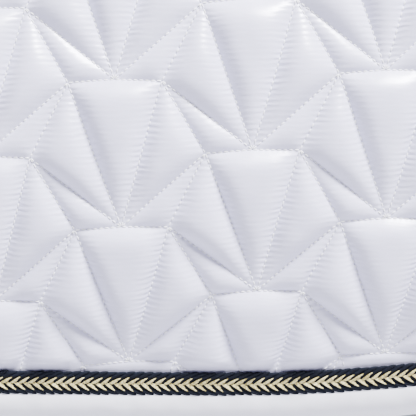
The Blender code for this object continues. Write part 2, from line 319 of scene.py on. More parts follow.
def new_mesh(name: str, points: Array, faces: Array | list, uv: Array | None = None) -> bpy.types.Object:
    """A piece from points and faces, smooth shaded.

    Args:
        name: the piece's name.
        points: its points in the row frame.
        faces: its faces, as rows of point numbers.
        uv: a flat position for each point, in metres.

    Returns:
        The piece.
    """
    mesh = bpy.data.meshes.new(name)
    rows = faces.tolist() if isinstance(faces, Array) else faces
    mesh.from_pydata(np.asarray(points, float).tolist(), [], rows)
    mesh.shade_smooth()
    if uv is not None:
        lay_flat(mesh, uv)
    mesh.update()
    piece = bpy.data.objects.new(name, mesh)
    bpy.context.scene.collection.objects.link(piece)
    return piece


def add_attribute(piece: bpy.types.Object, name: str, values: Array) -> None:
    """Stores a number for each point of a piece, for its material to read."""
    layer = piece.data.attributes.new(name, "FLOAT", "POINT")
    layer.data.foreach_set("value", np.asarray(values, np.float32))


def turn_outwards(faces: Array, side: Side, face: Face = Face.OUTER) -> Array:
    """Faces wound for the outside, when they were laid out anticlockwise in (u, -v) on the outer left."""
    return faces if side.value * face.value < 0 else faces[:, ::-1]


def triangle_edges(faces: Array) -> Array:
    """The three edges of each triangle, as sorted pairs of point numbers."""
    return np.sort(np.concatenate([faces[:, [0, 1]], faces[:, [1, 2]], faces[:, [2, 0]]]), axis=1)


def deselect() -> None:
    """Leaves nothing selected and no mesh in edit mode."""
    if bpy.context.object is not None and bpy.context.object.mode != "OBJECT":
        bpy.ops.object.mode_set(mode="OBJECT")
    bpy.ops.object.select_all(action="DESELECT")


def take_mesh(piece: bpy.types.Object) -> Master:
    """Removes a modelled master piece.

    Args:
        piece: the master, at the origin.

    Returns:
        Its points, and its faces as triangles.
    """
    mesh = piece.data
    mesh.transform(piece.matrix_world)
    mesh.calc_loop_triangles()
    points = np.array([v.co for v in mesh.vertices])
    faces = np.array([t.vertices for t in mesh.loop_triangles])
    bpy.data.objects.remove(piece)
    bpy.data.meshes.remove(mesh)
    return points, faces


def grain(size: Triple, sides: int, rings: int, taper: Pair = (3.0, 0.5)) -> Master:
    """A seed-shaped master, long in X, for stitches and strands.

    Args:
        size: its length, width and height.
        sides: its sides round X.
        rings: its rings along X.
        taper: how far its full width reaches, and how pointed its ends are.

    Returns:
        Its points and triangles.
    """
    deselect()
    bpy.ops.mesh.primitive_uv_sphere_add(segments=sides, ring_count=rings, radius=0.5)
    piece = bpy.context.object
    bpy.ops.object.mode_set(mode="EDIT")
    bpy.ops.mesh.select_all(action="SELECT")
    bpy.ops.transform.rotate(value=math.pi / 2, orient_axis="Y", center_override=(0, 0, 0))
    bpy.ops.object.mode_set(mode="OBJECT")
    points, faces = take_mesh(piece)
    share = np.clip(np.abs(points[:, 0]) * 2, 0.0, 1.0)
    width = (1 - share ** taper[0]) ** taper[1]
    points[:, 1:] *= (width / np.sqrt(np.maximum(1 - share**2, 1e-4)))[:, None]
    return points * size, faces


def slab(size: Triple, cells: tuple[int, int], soft: float) -> bpy.types.Object:
    """A flat strip of webbing, tape or cloth with soft rims, its underside at z = 0, modelled from a grid.

    Args:
        size: its length, width and thickness.
        cells: how many faces it has along X and Y.
        soft: the width of its rounded rims.

    Returns:
        The strip.
    """
    length, width, thickness = size
    deselect()
    bpy.ops.mesh.primitive_grid_add(x_subdivisions=cells[0], y_subdivisions=cells[1], size=1.0)
    piece = bpy.context.object
    bpy.ops.object.mode_set(mode="EDIT")
    bpy.ops.mesh.select_all(action="SELECT")
    bpy.ops.transform.resize(value=(length, width, 1.0), center_override=(0, 0, 0))
    bpy.ops.mesh.extrude_region_move(TRANSFORM_OT_translate={"value": (0, 0, thickness)})
    bpy.ops.mesh.select_all(action="SELECT")
    bpy.ops.mesh.normals_make_consistent(inside=False)
    bpy.ops.object.mode_set(mode="OBJECT")
    bm = bmesh.new()
    bm.from_mesh(piece.data)
    rims = [e for e in bm.edges if len(e.link_faces) == 2 and e.calc_face_angle() > math.radians(60)]
    bmesh.ops.bevel(bm, geom=rims, offset=soft, segments=2, profile=0.6, affect="EDGES")
    bm.to_mesh(piece.data)
    bm.free()
    return piece


def volume(points: Array, faces: Array) -> float:
    """The signed volume inside triangles, which is negative where they face inwards."""
    a, b, c = (points[faces[:, i]] for i in range(3))
    return float(np.einsum("ij,ij->", a, np.cross(b, c))) / 6


def reshape(piece: bpy.types.Object, name: str, place: Callable[[Array], Array]) -> bpy.types.Object:
    """Moves a modelled closed piece's points into the row frame and keeps their flat positions as its UV map.

    Args:
        piece: the modelled piece, at the origin.
        name: its name from now on.
        place: turns its points, one row each, into points of the row frame.

    Returns:
        The piece.
    """
    piece.name = name
    mesh = piece.data
    flat = np.array([v.co for v in mesh.vertices])
    placed = place(flat)
    mesh.vertices.foreach_set("co", placed.astype(np.float32).ravel())
    mesh.update()
    mesh.calc_loop_triangles()
    if volume(placed, np.array([t.vertices for t in mesh.loop_triangles])) < 0:
        mesh.flip_normals()
    while mesh.uv_layers:
        mesh.uv_layers.remove(mesh.uv_layers[0])
    lay_flat(mesh, flat[:, :2])
    mesh.shade_smooth()
    mesh.update()
    return piece


def copies(master: Master, places: Array, frames: Array) -> Master:
    """Copies of a master shape.

    Args:
        master: its points and triangles.
        places: where each copy goes.
        frames: for each copy, the three directions that its X, Y and Z turn to, as rows.

    Returns:
        All points and all triangles.
    """
    points, faces = master
    moved = np.einsum("pa,nab->npb", points, frames) + places[:, None, :]
    offsets = np.arange(len(places))[:, None, None] * len(points)
    return moved.reshape(-1, 3), (faces[None] + offsets).reshape(-1, faces.shape[1])


# ---------------------------------------------------------------- materials


class Nodes:
    """Builds the node tree of one material."""

    def __init__(self, name: str) -> None:
        """Starts a material with its shader and the piece's flat positions."""
        self.material = bpy.data.materials.new(name)
        self.material.use_nodes = True
        self.tree = self.material.node_tree
        self.shader = self.tree.nodes["Principled BSDF"]
        self.uv = self.add("ShaderNodeUVMap", uv_map="Flat").outputs["UV"]
        self.height = None

    def add(self, kind: str, **settings: object) -> bpy.types.Node:
        """A node of a kind, with its own properties set."""
        node = self.tree.nodes.new(kind)
        for key, value in settings.items():
            setattr(node, key, value)
        return node

    def link(self, value: object, socket: bpy.types.NodeSocket) -> None:
        """Feeds a socket from another socket, or sets it to a constant."""
        if isinstance(value, bpy.types.NodeSocket):
            self.tree.links.new(value, socket)
        else:
            socket.default_value = value

    def math(self, operation: str, a: object, b: object = 0.0) -> bpy.types.NodeSocket:
        """One arithmetic step."""
        node = self.add("ShaderNodeMath", operation=operation)
        self.link(a, node.inputs[0])
        self.link(b, node.inputs[1])
        return node.outputs[0]

    def axis(self, name: str) -> bpy.types.NodeSocket:
        """The flat position along u ("X") or v ("Y"), in metres."""
        node = self.add("ShaderNodeSeparateXYZ")
        self.link(self.uv, node.inputs[0])
        return node.outputs[name]

    def attribute(self, name: str) -> bpy.types.NodeSocket:
        """A number stored on the piece's points."""
        return self.add("ShaderNodeAttribute", attribute_name=name).outputs["Fac"]

    def noise(self, size: float, detail: float = 2.0, stretch: Pair = (1.0, 1.0)) -> bpy.types.NodeSocket:
        """Noise over the flat layout.

        Args:
            size: the size of its features, in metres.
            detail: how many finer layers it has.
            stretch: how much closer its features are along u and v.

        Returns:
            A number from 0 to 1.
        """
        mapping = self.add("ShaderNodeMapping")
        self.link(self.uv, mapping.inputs["Vector"])
        mapping.inputs["Scale"].default_value = (stretch[0] / size, stretch[1] / size, 1.0)
        node = self.add("ShaderNodeTexNoise")
        self.link(mapping.outputs["Vector"], node.inputs["Vector"])
        node.inputs["Scale"].default_value = 1.0
        node.inputs["Detail"].default_value = detail
        return node.outputs["Fac"]

    def object_noise(self, size: float, detail: float = 2.0) -> bpy.types.NodeSocket:
        """Noise through space, for pieces that aren't laid out flat.

        Args:
            size: the size of its features, in metres.
            detail: how many finer layers it has.

        Returns:
            A number from 0 to 1.
        """
        node = self.add("ShaderNodeTexNoise")
        self.link(self.add("ShaderNodeTexCoord").outputs["Object"], node.inputs["Vector"])
        node.inputs["Scale"].default_value = 1.0 / size
        node.inputs["Detail"].default_value = detail
        return node.outputs["Fac"]

    def wave(self, position: object, pitch: float) -> bpy.types.NodeSocket:
        """A sine, from -1 to 1, of a position in metres."""
        return self.math("SINE", self.math("MULTIPLY", position, 2 * math.pi / pitch))

    def raise_by(self, height: object, amount: float) -> None:
        """Adds a relief of some metres to the surface."""
        scaled = self.math("MULTIPLY", height, amount)
        self.height = scaled if self.height is None else self.math("ADD", self.height, scaled)

    def colours(self, factor: object, dark: Sequence[float], light: Sequence[float]) -> None:
        """Colours the surface between two colours.

        Args:
            factor: where it is dark, near 0, and light, near 1.
            dark: the dark colour.
            light: the light colour.
        """
        node = self.add("ShaderNodeValToRGB")
        self.link(factor, node.inputs["Fac"])
        for stop, place, colour in zip(node.color_ramp.elements, (0.2, 0.8), (dark, light)):
            stop.position = place
            stop.color = (*colour, 1.0)
        self.link(node.outputs["Color"], self.shader.inputs["Base Color"])

    def finish(self, **inputs: object) -> bpy.types.Material:
        """Sets the shader's other inputs and connects the relief.

        Args:
            inputs: the inputs by name, with _ for each space.

        Returns:
            The material.
        """
        for name, value in inputs.items():
            self.link(value, self.shader.inputs[name.replace("_", " ")])
        if self.height is not None:
            bump = self.add("ShaderNodeBump")
            bump.inputs["Strength"].default_value = 1.0
            bump.inputs["Distance"].default_value = 1.0
            self.link(self.height, bump.inputs["Height"])
            self.link(bump.outputs["Normal"], self.shader.inputs["Normal"])
        return self.material


@dataclass(frozen=True)
class Satin:
    """White satin, with puckers that run across the steep seams and fine weft ribs."""

    dark: Triple = (0.69, 0.68, 0.88)
    light: Triple = (0.76, 0.755, 0.95)
    pucker_pitch: float = 2.88 * MM
    pucker_height: float = 0.34 * MM
    bend_size: float = 16 * MM
    bend: float = 2.6 * MM
    patch_size: float = 6 * MM
    crumple_size: float = 2.4 * MM
    crumple_height: float = 0.22 * MM
    slack_size: float = 22 * MM
    slack_height: float = 0.9 * MM
    rib_pitch: float = 0.62 * MM
    rib_height: float = 0.008 * MM
    slub_size: float = 0.9 * MM
    slub_height: float = 0.03 * MM
    fleck_size: float = 1.6 * MM

    def build(self) -> bpy.types.Material:
        """Makes the material."""
        n = Nodes("satin")
        v = n.axis("Y")
        bent = n.math("ADD", v, n.math("MULTIPLY", n.noise(self.bend_size), self.bend))
        patchy = n.math("POWER", n.noise(self.patch_size, stretch=(0.7, 1.7)), 2.0)
        uneven = n.math("MULTIPLY", n.attribute("pucker"), n.math("MULTIPLY", patchy, 1.3))
        n.raise_by(n.math("MULTIPLY", n.wave(bent, self.pucker_pitch), uneven), self.pucker_height)
        crumple = n.math("MULTIPLY", n.noise(self.crumple_size, stretch=(0.35, 1.0)), n.attribute("pucker"))
        n.raise_by(crumple, self.crumple_height)
        n.raise_by(n.noise(self.slack_size, 1.0), self.slack_height)
        n.raise_by(n.wave(v, self.rib_pitch), self.rib_height)
        n.raise_by(n.noise(self.slub_size, 3.0, (0.25, 1.0)), self.slub_height)
        n.colours(n.noise(self.fleck_size, 3.0, (0.2, 1.0)), self.dark, self.light)
        return n.finish(Roughness=0.34, Specular_IOR_Level=1.0, Coat_Weight=0.5, Coat_Roughness=0.36)


@dataclass(frozen=True)
class PlainWeave:
    """A matte or silky woven cloth or webbing, with crossed yarns."""

    name: str
    dark: Triple
    light: Triple
    yarn: float
    depth: float
    roughness: float = 0.8
    soft_size: float = 18 * MM
    soft_depth: float = 0.25 * MM
    twill: float = 0.0

    def build(self) -> bpy.types.Material:
        """Makes the material."""
        n = Nodes(self.name)
        u, v = n.axis("X"), n.axis("Y")
        if self.twill:
            u = n.math("ADD", u, n.math("PINGPONG", v, self.twill))
        weave = n.math("MULTIPLY", n.wave(u, self.yarn), n.wave(v, self.yarn * 1.1))
        n.raise_by(weave, self.depth)
        n.raise_by(n.noise(self.soft_size, 2.0), self.soft_depth)
        n.raise_by(n.noise(self.yarn * 2.5, 3.0), self.depth * 0.8)
        mix = n.math("ADD", n.math("MULTIPLY", weave, 0.2), n.noise(self.yarn * 6, 3.0))
        n.colours(mix, self.dark, self.light)
        return n.finish(Roughness=self.roughness, Sheen_Weight=0.15, Specular_IOR_Level=0.3)


@dataclass(frozen=True)
class Yarn:
    """Twisted or metallic strands, coloured by a random number on each strand and by fine flecks of tone; on
    the gold, the bright flecks are painted glints that stand in for the sparkle of metallic thread.
    """

    name: str
    dark: Triple
    light: Triple
    roughness: float
    metallic: float = 0.0
    fibre: float = 0.35 * MM
    depth: float = 0.05 * MM
    sheen: float = 0.2
    specular: float = 0.4

    def build(self) -> bpy.types.Material:
        """Makes the material."""
        n = Nodes(self.name)
        fine = n.object_noise(self.fibre, 3.0)
        n.raise_by(fine, self.depth)
        each = n.math("MULTIPLY", n.attribute("strand"), 0.25)
        # Fine flecks of tone; on the gold, with its highlight-bright light colour, they are also painted
        # glints.
        tone_and_glint_flecks = n.math("MULTIPLY", n.math("SUBTRACT", fine, 0.32), 2.2)
        n.colours(n.math("ADD", each, tone_and_glint_flecks), self.dark, self.light)
        rough = n.math("ADD", self.roughness - 0.08, n.math("MULTIPLY", fine, 0.16))
        return n.finish(
            Roughness=rough, Metallic=self.metallic, Sheen_Weight=self.sheen, Specular_IOR_Level=self.specular
        )


@dataclass(frozen=True)
class Fuzz:
    """Hook or loop tape: a pile of fine hooks or loops."""

    name: str
    size: float
    depth: float
    tuft_size: float = 4 * MM
    tuft_height: float = 0.15 * MM
    dark: Triple = (0.72, 0.72, 0.75)
    light: Triple = (0.58, 0.58, 0.61)

    def build(self) -> bpy.types.Material:
        """Makes the material."""
        n = Nodes(self.name)
        pile = n.add("ShaderNodeTexVoronoi")
        n.link(n.uv, pile.inputs["Vector"])
        pile.inputs["Scale"].default_value = 1.0 / self.size
        n.raise_by(pile.outputs["Distance"], self.depth)
        n.raise_by(n.noise(self.tuft_size, 3.0), self.tuft_height)
        n.colours(pile.outputs["Distance"], self.dark, self.light)
        return n.finish(Roughness=0.85, Sheen_Weight=0.3, Specular_IOR_Level=0.25)


class Finishes:
    """Every finish of the pad, made once."""

    def __init__(self) -> None:
        """Makes the materials."""
        plain = {"dark": (0.76, 0.76, 0.85), "light": (0.82, 0.82, 0.90)}
        self.satin = Satin().build()
        self.binding = PlainWeave(
            "binding_tape",
            dark=(0.91, 0.91, 1.0),
            light=(0.94, 0.94, 1.0),
            yarn=0.42 * MM,
            depth=0.012 * MM,
            roughness=0.5,
            soft_size=26 * MM,
            soft_depth=1.1 * MM,
        ).build()
        self.lining = PlainWeave(
            "cotton_lining",
            dark=(0.70, 0.70, 0.70),
            light=(0.78, 0.78, 0.78),
            yarn=0.6 * MM,
            depth=0.03 * MM,
        ).build()
        self.tape = PlainWeave(
            "twill_tape", **plain, yarn=0.9 * MM, depth=0.06 * MM, roughness=0.75, twill=4 * MM
        ).build()
        self.webbing = PlainWeave(
            "webbing", **plain, yarn=1.5 * MM, depth=0.16 * MM, roughness=0.7, twill=2.2 * MM
        ).build()
        self.label = PlainWeave(
            "label_satin",
            dark=(0.8, 0.8, 0.82),
            light=(0.84, 0.84, 0.86),
            yarn=0.3 * MM,
            depth=0.01 * MM,
            roughness=0.4,
        ).build()
        self.thread = Yarn(
            "white_thread",
            dark=(0.90, 0.90, 0.93),
            light=(0.96, 0.96, 0.98),
            roughness=0.4,
            fibre=0.4 * MM,
        ).build()
        self.navy = Yarn(
            "navy_yarn",
            dark=(0.0022, 0.003, 0.0065),
            light=(0.007, 0.0095, 0.018),
            roughness=0.7,
            sheen=0.0,
            specular=0.12,
        ).build()
        # The gold's light colour is partly painted highlight, which the yarn's flecks scatter as painted
        # glints over its own yellow tone.
        self.gold = Yarn(
            "gold_yarn",
            dark=(0.42, 0.33, 0.10),
            light=(1.0, 0.90, 0.45),
            roughness=0.36,
            metallic=0.15,
            fibre=0.8 * MM,
            depth=0.2 * MM,
            sheen=0.0,
        ).build()
        self.hook = Fuzz("hook_pile", size=0.9 * MM, depth=0.5 * MM).build()
        self.loop = Fuzz("loop_pile", size=0.5 * MM, depth=0.3 * MM).build()
        self.floor = self._floor()

    @staticmethod
    def _floor() -> bpy.types.Material:
        """Makes the pale floor's material."""
        n = Nodes("pale_floor")
        n.colours(n.object_noise(0.4, 3.0), (0.41, 0.41, 0.44), (0.44, 0.44, 0.47))
        return n.finish(Roughness=0.7)


# ---------------------------------------------------------------- quilting


def stitch_count(a: Vector, b: Vector, pitch: float = STITCH_PITCH) -> int:
    """How many stitches a seam between two points has."""
    return max(1, round((b - a).length / pitch))


@dataclass(frozen=True)
class Tile:
    """A meshed facet of the quilting, in flat metres round its unit's foot."""

    points: Array
    triangles: Array
    relief: Array
    pucker: Array
    dimple: Array

    def mirrored(self) -> "Tile":
        """The same facet on the other side of its unit."""
        return Tile(self.points * (-1, 1), self.triangles[:, ::-1], self.relief, self.pucker, self.dimple)


@dataclass(frozen=True)
class Quilt:
    """The gem pattern: a flat-topped unit with two inner seams, in columns that drop by half a unit."""

    pitch_u: float = 68 * MM
    pitch_v: float = 75.3 * MM
    half_top: float = 23.7 * MM
    bow: float = 1.2 * MM
    origin: Pair = (-6.9 * MM, 298.0 * MM)
    columns: range = range(-6, 7)
    rows: range = range(-6, 6)
    top_v: float = -12 * MM
    drift: float = 0.7 * MM
    drift_sizes: Pair = (170 * MM, 150 * MM)

    def corners(self) -> dict[str, Vector]:
        """The named points of a unit, with its foot at the origin."""
        top_v = self.bow - self.pitch_v
        side_v = self.bow - self.pitch_v / 2
        return {
            "foot": Vector((0, 0)),
            "crown": Vector((0, -self.pitch_v)),
            "top_left": Vector((-self.half_top, top_v)),
            "top_right": Vector((self.half_top, top_v)),
            "right": Vector((self.pitch_u - self.half_top, side_v)),
            "left": Vector((self.half_top - self.pitch_u, side_v)),
            "next_foot": Vector((self.pitch_u, -self.pitch_v / 2)),
            "last_foot": Vector((-self.pitch_u, -self.pitch_v / 2)),
        }

    def seams(self) -> list[tuple[Vector, Vector]]:
        """The stitched lines that belong to one unit."""
        c = self.corners()
        pairs = (
            ("crown", "top_left"),
            ("crown", "top_right"),
            ("top_left", "foot"),
            ("top_right", "foot"),
            ("top_right", "right"),
            ("top_left", "left"),
            ("right", "foot"),
            ("left", "foot"),
        )
        return [(c[a], c[b]) for a, b in pairs]

    def units(self, cut: Cut) -> list[Pair]:
        """Where the units go.

        Args:
            cut: the flap's cut edge.

        Returns:
            The foot of every unit that reaches into the cut.
        """
        corners = np.array([corner[:] for corner in self.corners().values()])
        feet = []
        for column in self.columns:
            for row in self.rows:
                u = self.origin[0] + column * self.pitch_u
                v = self.origin[1] + (row + 0.5 * (column % 2)) * self.pitch_v
                reach = corners + (u, v)
                if cut.inset(reach[:, 0], reach[:, 1])[0].max() > 0 and v > self.top_v:
                    feet.append((u, v))
        return feet

    def drifted(self, flat: Array) -> Array:
        """Flat positions, one row each, with the small wander of real quilting."""
        u, v = flat.T
        moves = [wander(u, v, seed, size) for seed, size in zip((1.0, 2.0), self.drift_sizes)]
        return flat + self.drift * np.stack(moves, -1)


@dataclass(frozen=True)
class TileMesher:
    """Meshes a facet finely along its seams and loosely inside, and puffs it up."""

    per_stitch: int
    rings: tuple[Pair, ...]
    inner_step: float
    span: float = 5.0 * MM
    bevel: float = 7.5 * MM
    crown_span: float = 14.0 * MM
    crown_share: float = 0.2
    dimple_fade: float = 1.6 * MM
    gather_fade: float = 5.5 * MM

    @staticmethod
    def _distances(points: Array, polygon: Sequence[Vector]) -> Array:
        """How far in from each of a facet's sides points are.

        Args:
            points: flat points.
            polygon: the facet's corners.

        Returns:
            A row for each point and a column for each side.
        """
        lines = []
        for a, b in zip(polygon, [*polygon[1:], polygon[0]]):
            along = (b - a).normalized()
            normal = np.array((-along.y, along.x))
            lines.append((points - np.array(a)) @ normal)
        return np.stack(lines, -1)

    def _ring(self, polygon: Sequence[Vector], inset: float, step: float) -> list[Vector]:
        """Points along a line inside a facet's rim.

        Args:
            polygon: the facet's corners.
            inset: how far in from the rim the line is.
            step: the distance between points, or 0 where they follow the stitches.

        Returns:
            The points, side by side.
        """
        moved = []
        count = len(polygon)
        for i, corner in enumerate(polygon):
            before = (corner - polygon[i - 1]).normalized()
            after = (polygon[(i + 1) % count] - corner).normalized()
            n1, n2 = Vector((-before.y, before.x)), Vector((-after.y, after.x))
            bisector = n1 + n2
            moved.append(corner + bisector * inset / max(0.05, n1.dot(bisector)))
        points = []
        for a, b in zip(moved, [*moved[1:], moved[0]]):
            steps = max(1, round((b - a).length / step)) if step else self.per_stitch * stitch_count(a, b)
            points += [a.lerp(b, i / steps) for i in range(steps)]
        return points

    def mesh(self, polygon: Sequence[Vector]) -> Tile:
        """Meshes one facet.

        Args:
            polygon: its corners, anticlockwise as seen with v upwards.

        Returns:
            The tile.
        """
        rim = self._ring(polygon, 0.0, 0.0)
        rings = [self._ring(polygon, inset, step) for inset, step in self.rings]
        low = Vector((min(p.x for p in polygon), min(p.y for p in polygon)))
        high = Vector((max(p.x for p in polygon), max(p.y for p in polygon)))
        row_step = self.inner_step * 0.87
        grid = [
            low + Vector(((i + 0.5 * (j % 2)) * self.inner_step, j * row_step))
            for j in range(int((high.y - low.y) / row_step) + 1)
            for i in range(int((high.x - low.x) / self.inner_step) + 2)
        ]
        candidates = np.array([*sum(rings, []), *grid])
        near = self._distances(candidates, polygon).min(1)
        last_inset, last_step = self.rings[-1]
        limits = [np.full(len(ring), inset * 0.98) for ring, (inset, _) in zip(rings, self.rings)]
        limits.append(np.full(len(grid), last_inset + 0.6 * last_step))
        inner = [Vector(p) for p in candidates[near > np.concatenate(limits)]]
        boundary = list(range(len(rim)))
        points, _, faces, *_ = delaunay_2d_cdt(rim + inner, [], [boundary], 1, 1e-7)
        flat = np.array([p[:] for p in points])
        triangles = np.array([f[:] for f in faces if len(f) == 3])
        a, b, c = (flat[triangles[:, i]] for i in range(3))
        turned = (b[:, 0] - a[:, 0]) * (c[:, 1] - a[:, 1]) - (b[:, 1] - a[:, 1]) * (c[:, 0] - a[:, 0]) > 0
        triangles[turned] = triangles[turned][:, ::-1]
        distances = self._distances(flat, polygon)
        pinned = distances.min(1) < 0.01 * MM
        raised = np.clip(self._puff(flat, triangles, pinned, self.span), 0, 0.999)
        depth = -np.log(1 - raised) * self.span / self.bevel
        slope = depth / (1 + depth**4) ** 0.25
        crown = self._puff(flat, triangles, pinned, self.crown_span)
        relief = (1 - self.crown_share) * slope + self.crown_share * crown
        pucker, dimple = self._pucker(distances, polygon), self._dimple(flat, distances, polygon)
        return Tile(flat, triangles, relief, pucker, dimple)

    def _dimple(self, points: Array, distances: Array, polygon: Sequence[Vector]) -> Array:
        """How far the thread pulls the cloth down: most at the needle holes, and fading from the seam.

        Args:
            points: the facet's flat points.
            distances: how far in from each side they are.
            polygon: the facet's corners.

        Returns:
            A depth for each point, up to 1.
        """
        deepest = np.zeros(len(points))
        for i, (a, b) in enumerate(zip(polygon, [*polygon[1:], polygon[0]])):
            along = np.array((b - a).normalized())
            share = (points - np.array(a)) @ along / (b - a).length
            holes = 0.5 + 0.5 * np.cos(2 * math.pi * share * stitch_count(a, b))
            deepest = np.maximum(deepest, holes * np.exp(-np.maximum(distances[:, i], 0) / self.dimple_fade))
        return deepest

    @staticmethod
    def _puff(points: Array, triangles: Array, pinned: Array, span: float) -> Array:
        """The height of cloth over wadding: a skin on springs, held down along the pinned points.

        Args:
            points: the facet's flat points.
            triangles: its triangles.
            pinned: which points the seams hold.
            span: how far from a seam the skin takes to rise.

        Returns:
            A height for each point, up to 1.
        """
        count = len(points)
        matrix, load = np.zeros((count, count)), np.zeros(count)
        corners = points[triangles]
        edges = corners[:, [2, 0, 1]] - corners[:, [1, 2, 0]]
        area = 0.5 * np.abs(
            (corners[:, 1, 0] - corners[:, 0, 0]) * (corners[:, 2, 1] - corners[:, 0, 1])
            - (corners[:, 1, 1] - corners[:, 0, 1]) * (corners[:, 2, 0] - corners[:, 0, 0])
        )
        area = np.maximum(area, 1e-12)
        stiffness = np.einsum("tia,tja->tij", edges, edges) / (4 * area[:, None, None])
        for i in range(3):
            for j in range(3):
                np.add.at(matrix, (triangles[:, i], triangles[:, j]), stiffness[:, i, j])
            np.add.at(load, triangles[:, i], area / 3)
        matrix[np.arange(count), np.arange(count)] += load / span**2
        right = load / span**2
        free = ~pinned
        height = np.zeros(count)
        height[free] = np.linalg.solve(matrix[np.ix_(free, free)], right[free])
        return height

    def _pucker(self, distances: Array, polygon: Sequence[Vector]) -> Array:
        """How much the cloth is gathered beside its seams: most along the steep ones.

        Args:
            distances: how far in from each side the facet's points are.
            polygon: the facet's corners.

        Returns:
            A share for each point.
        """
        gathered = np.zeros(len(distances))
        for i, (a, b) in enumerate(zip(polygon, [*polygon[1:], polygon[0]])):
            steep = abs((b - a).normalized().y) ** 3
            fade = np.exp(-np.maximum(distances[:, i], 0) / self.gather_fade)
            gathered = np.maximum(gathered, steep * fade)
        return gathered


@dataclass(frozen=True)
class Press:
    """A rectangle of a flap's face that something sewn on holds flat."""

    centre: Pair
    half: Pair
    w: float
    fade: float = 5 * MM

    def share(self, u: Array, v: Array) -> Array:
        """How far each flat point is held down, from 0 to 1."""
        over_u = np.maximum(np.abs(u - self.centre[0]) - self.half[0], 0.0)
        over_v = np.maximum(np.abs(v - self.centre[1]) - self.half[1], 0.0)
        return 1 - smoothstep(0.0, self.fade, np.hypot(over_u, over_v))


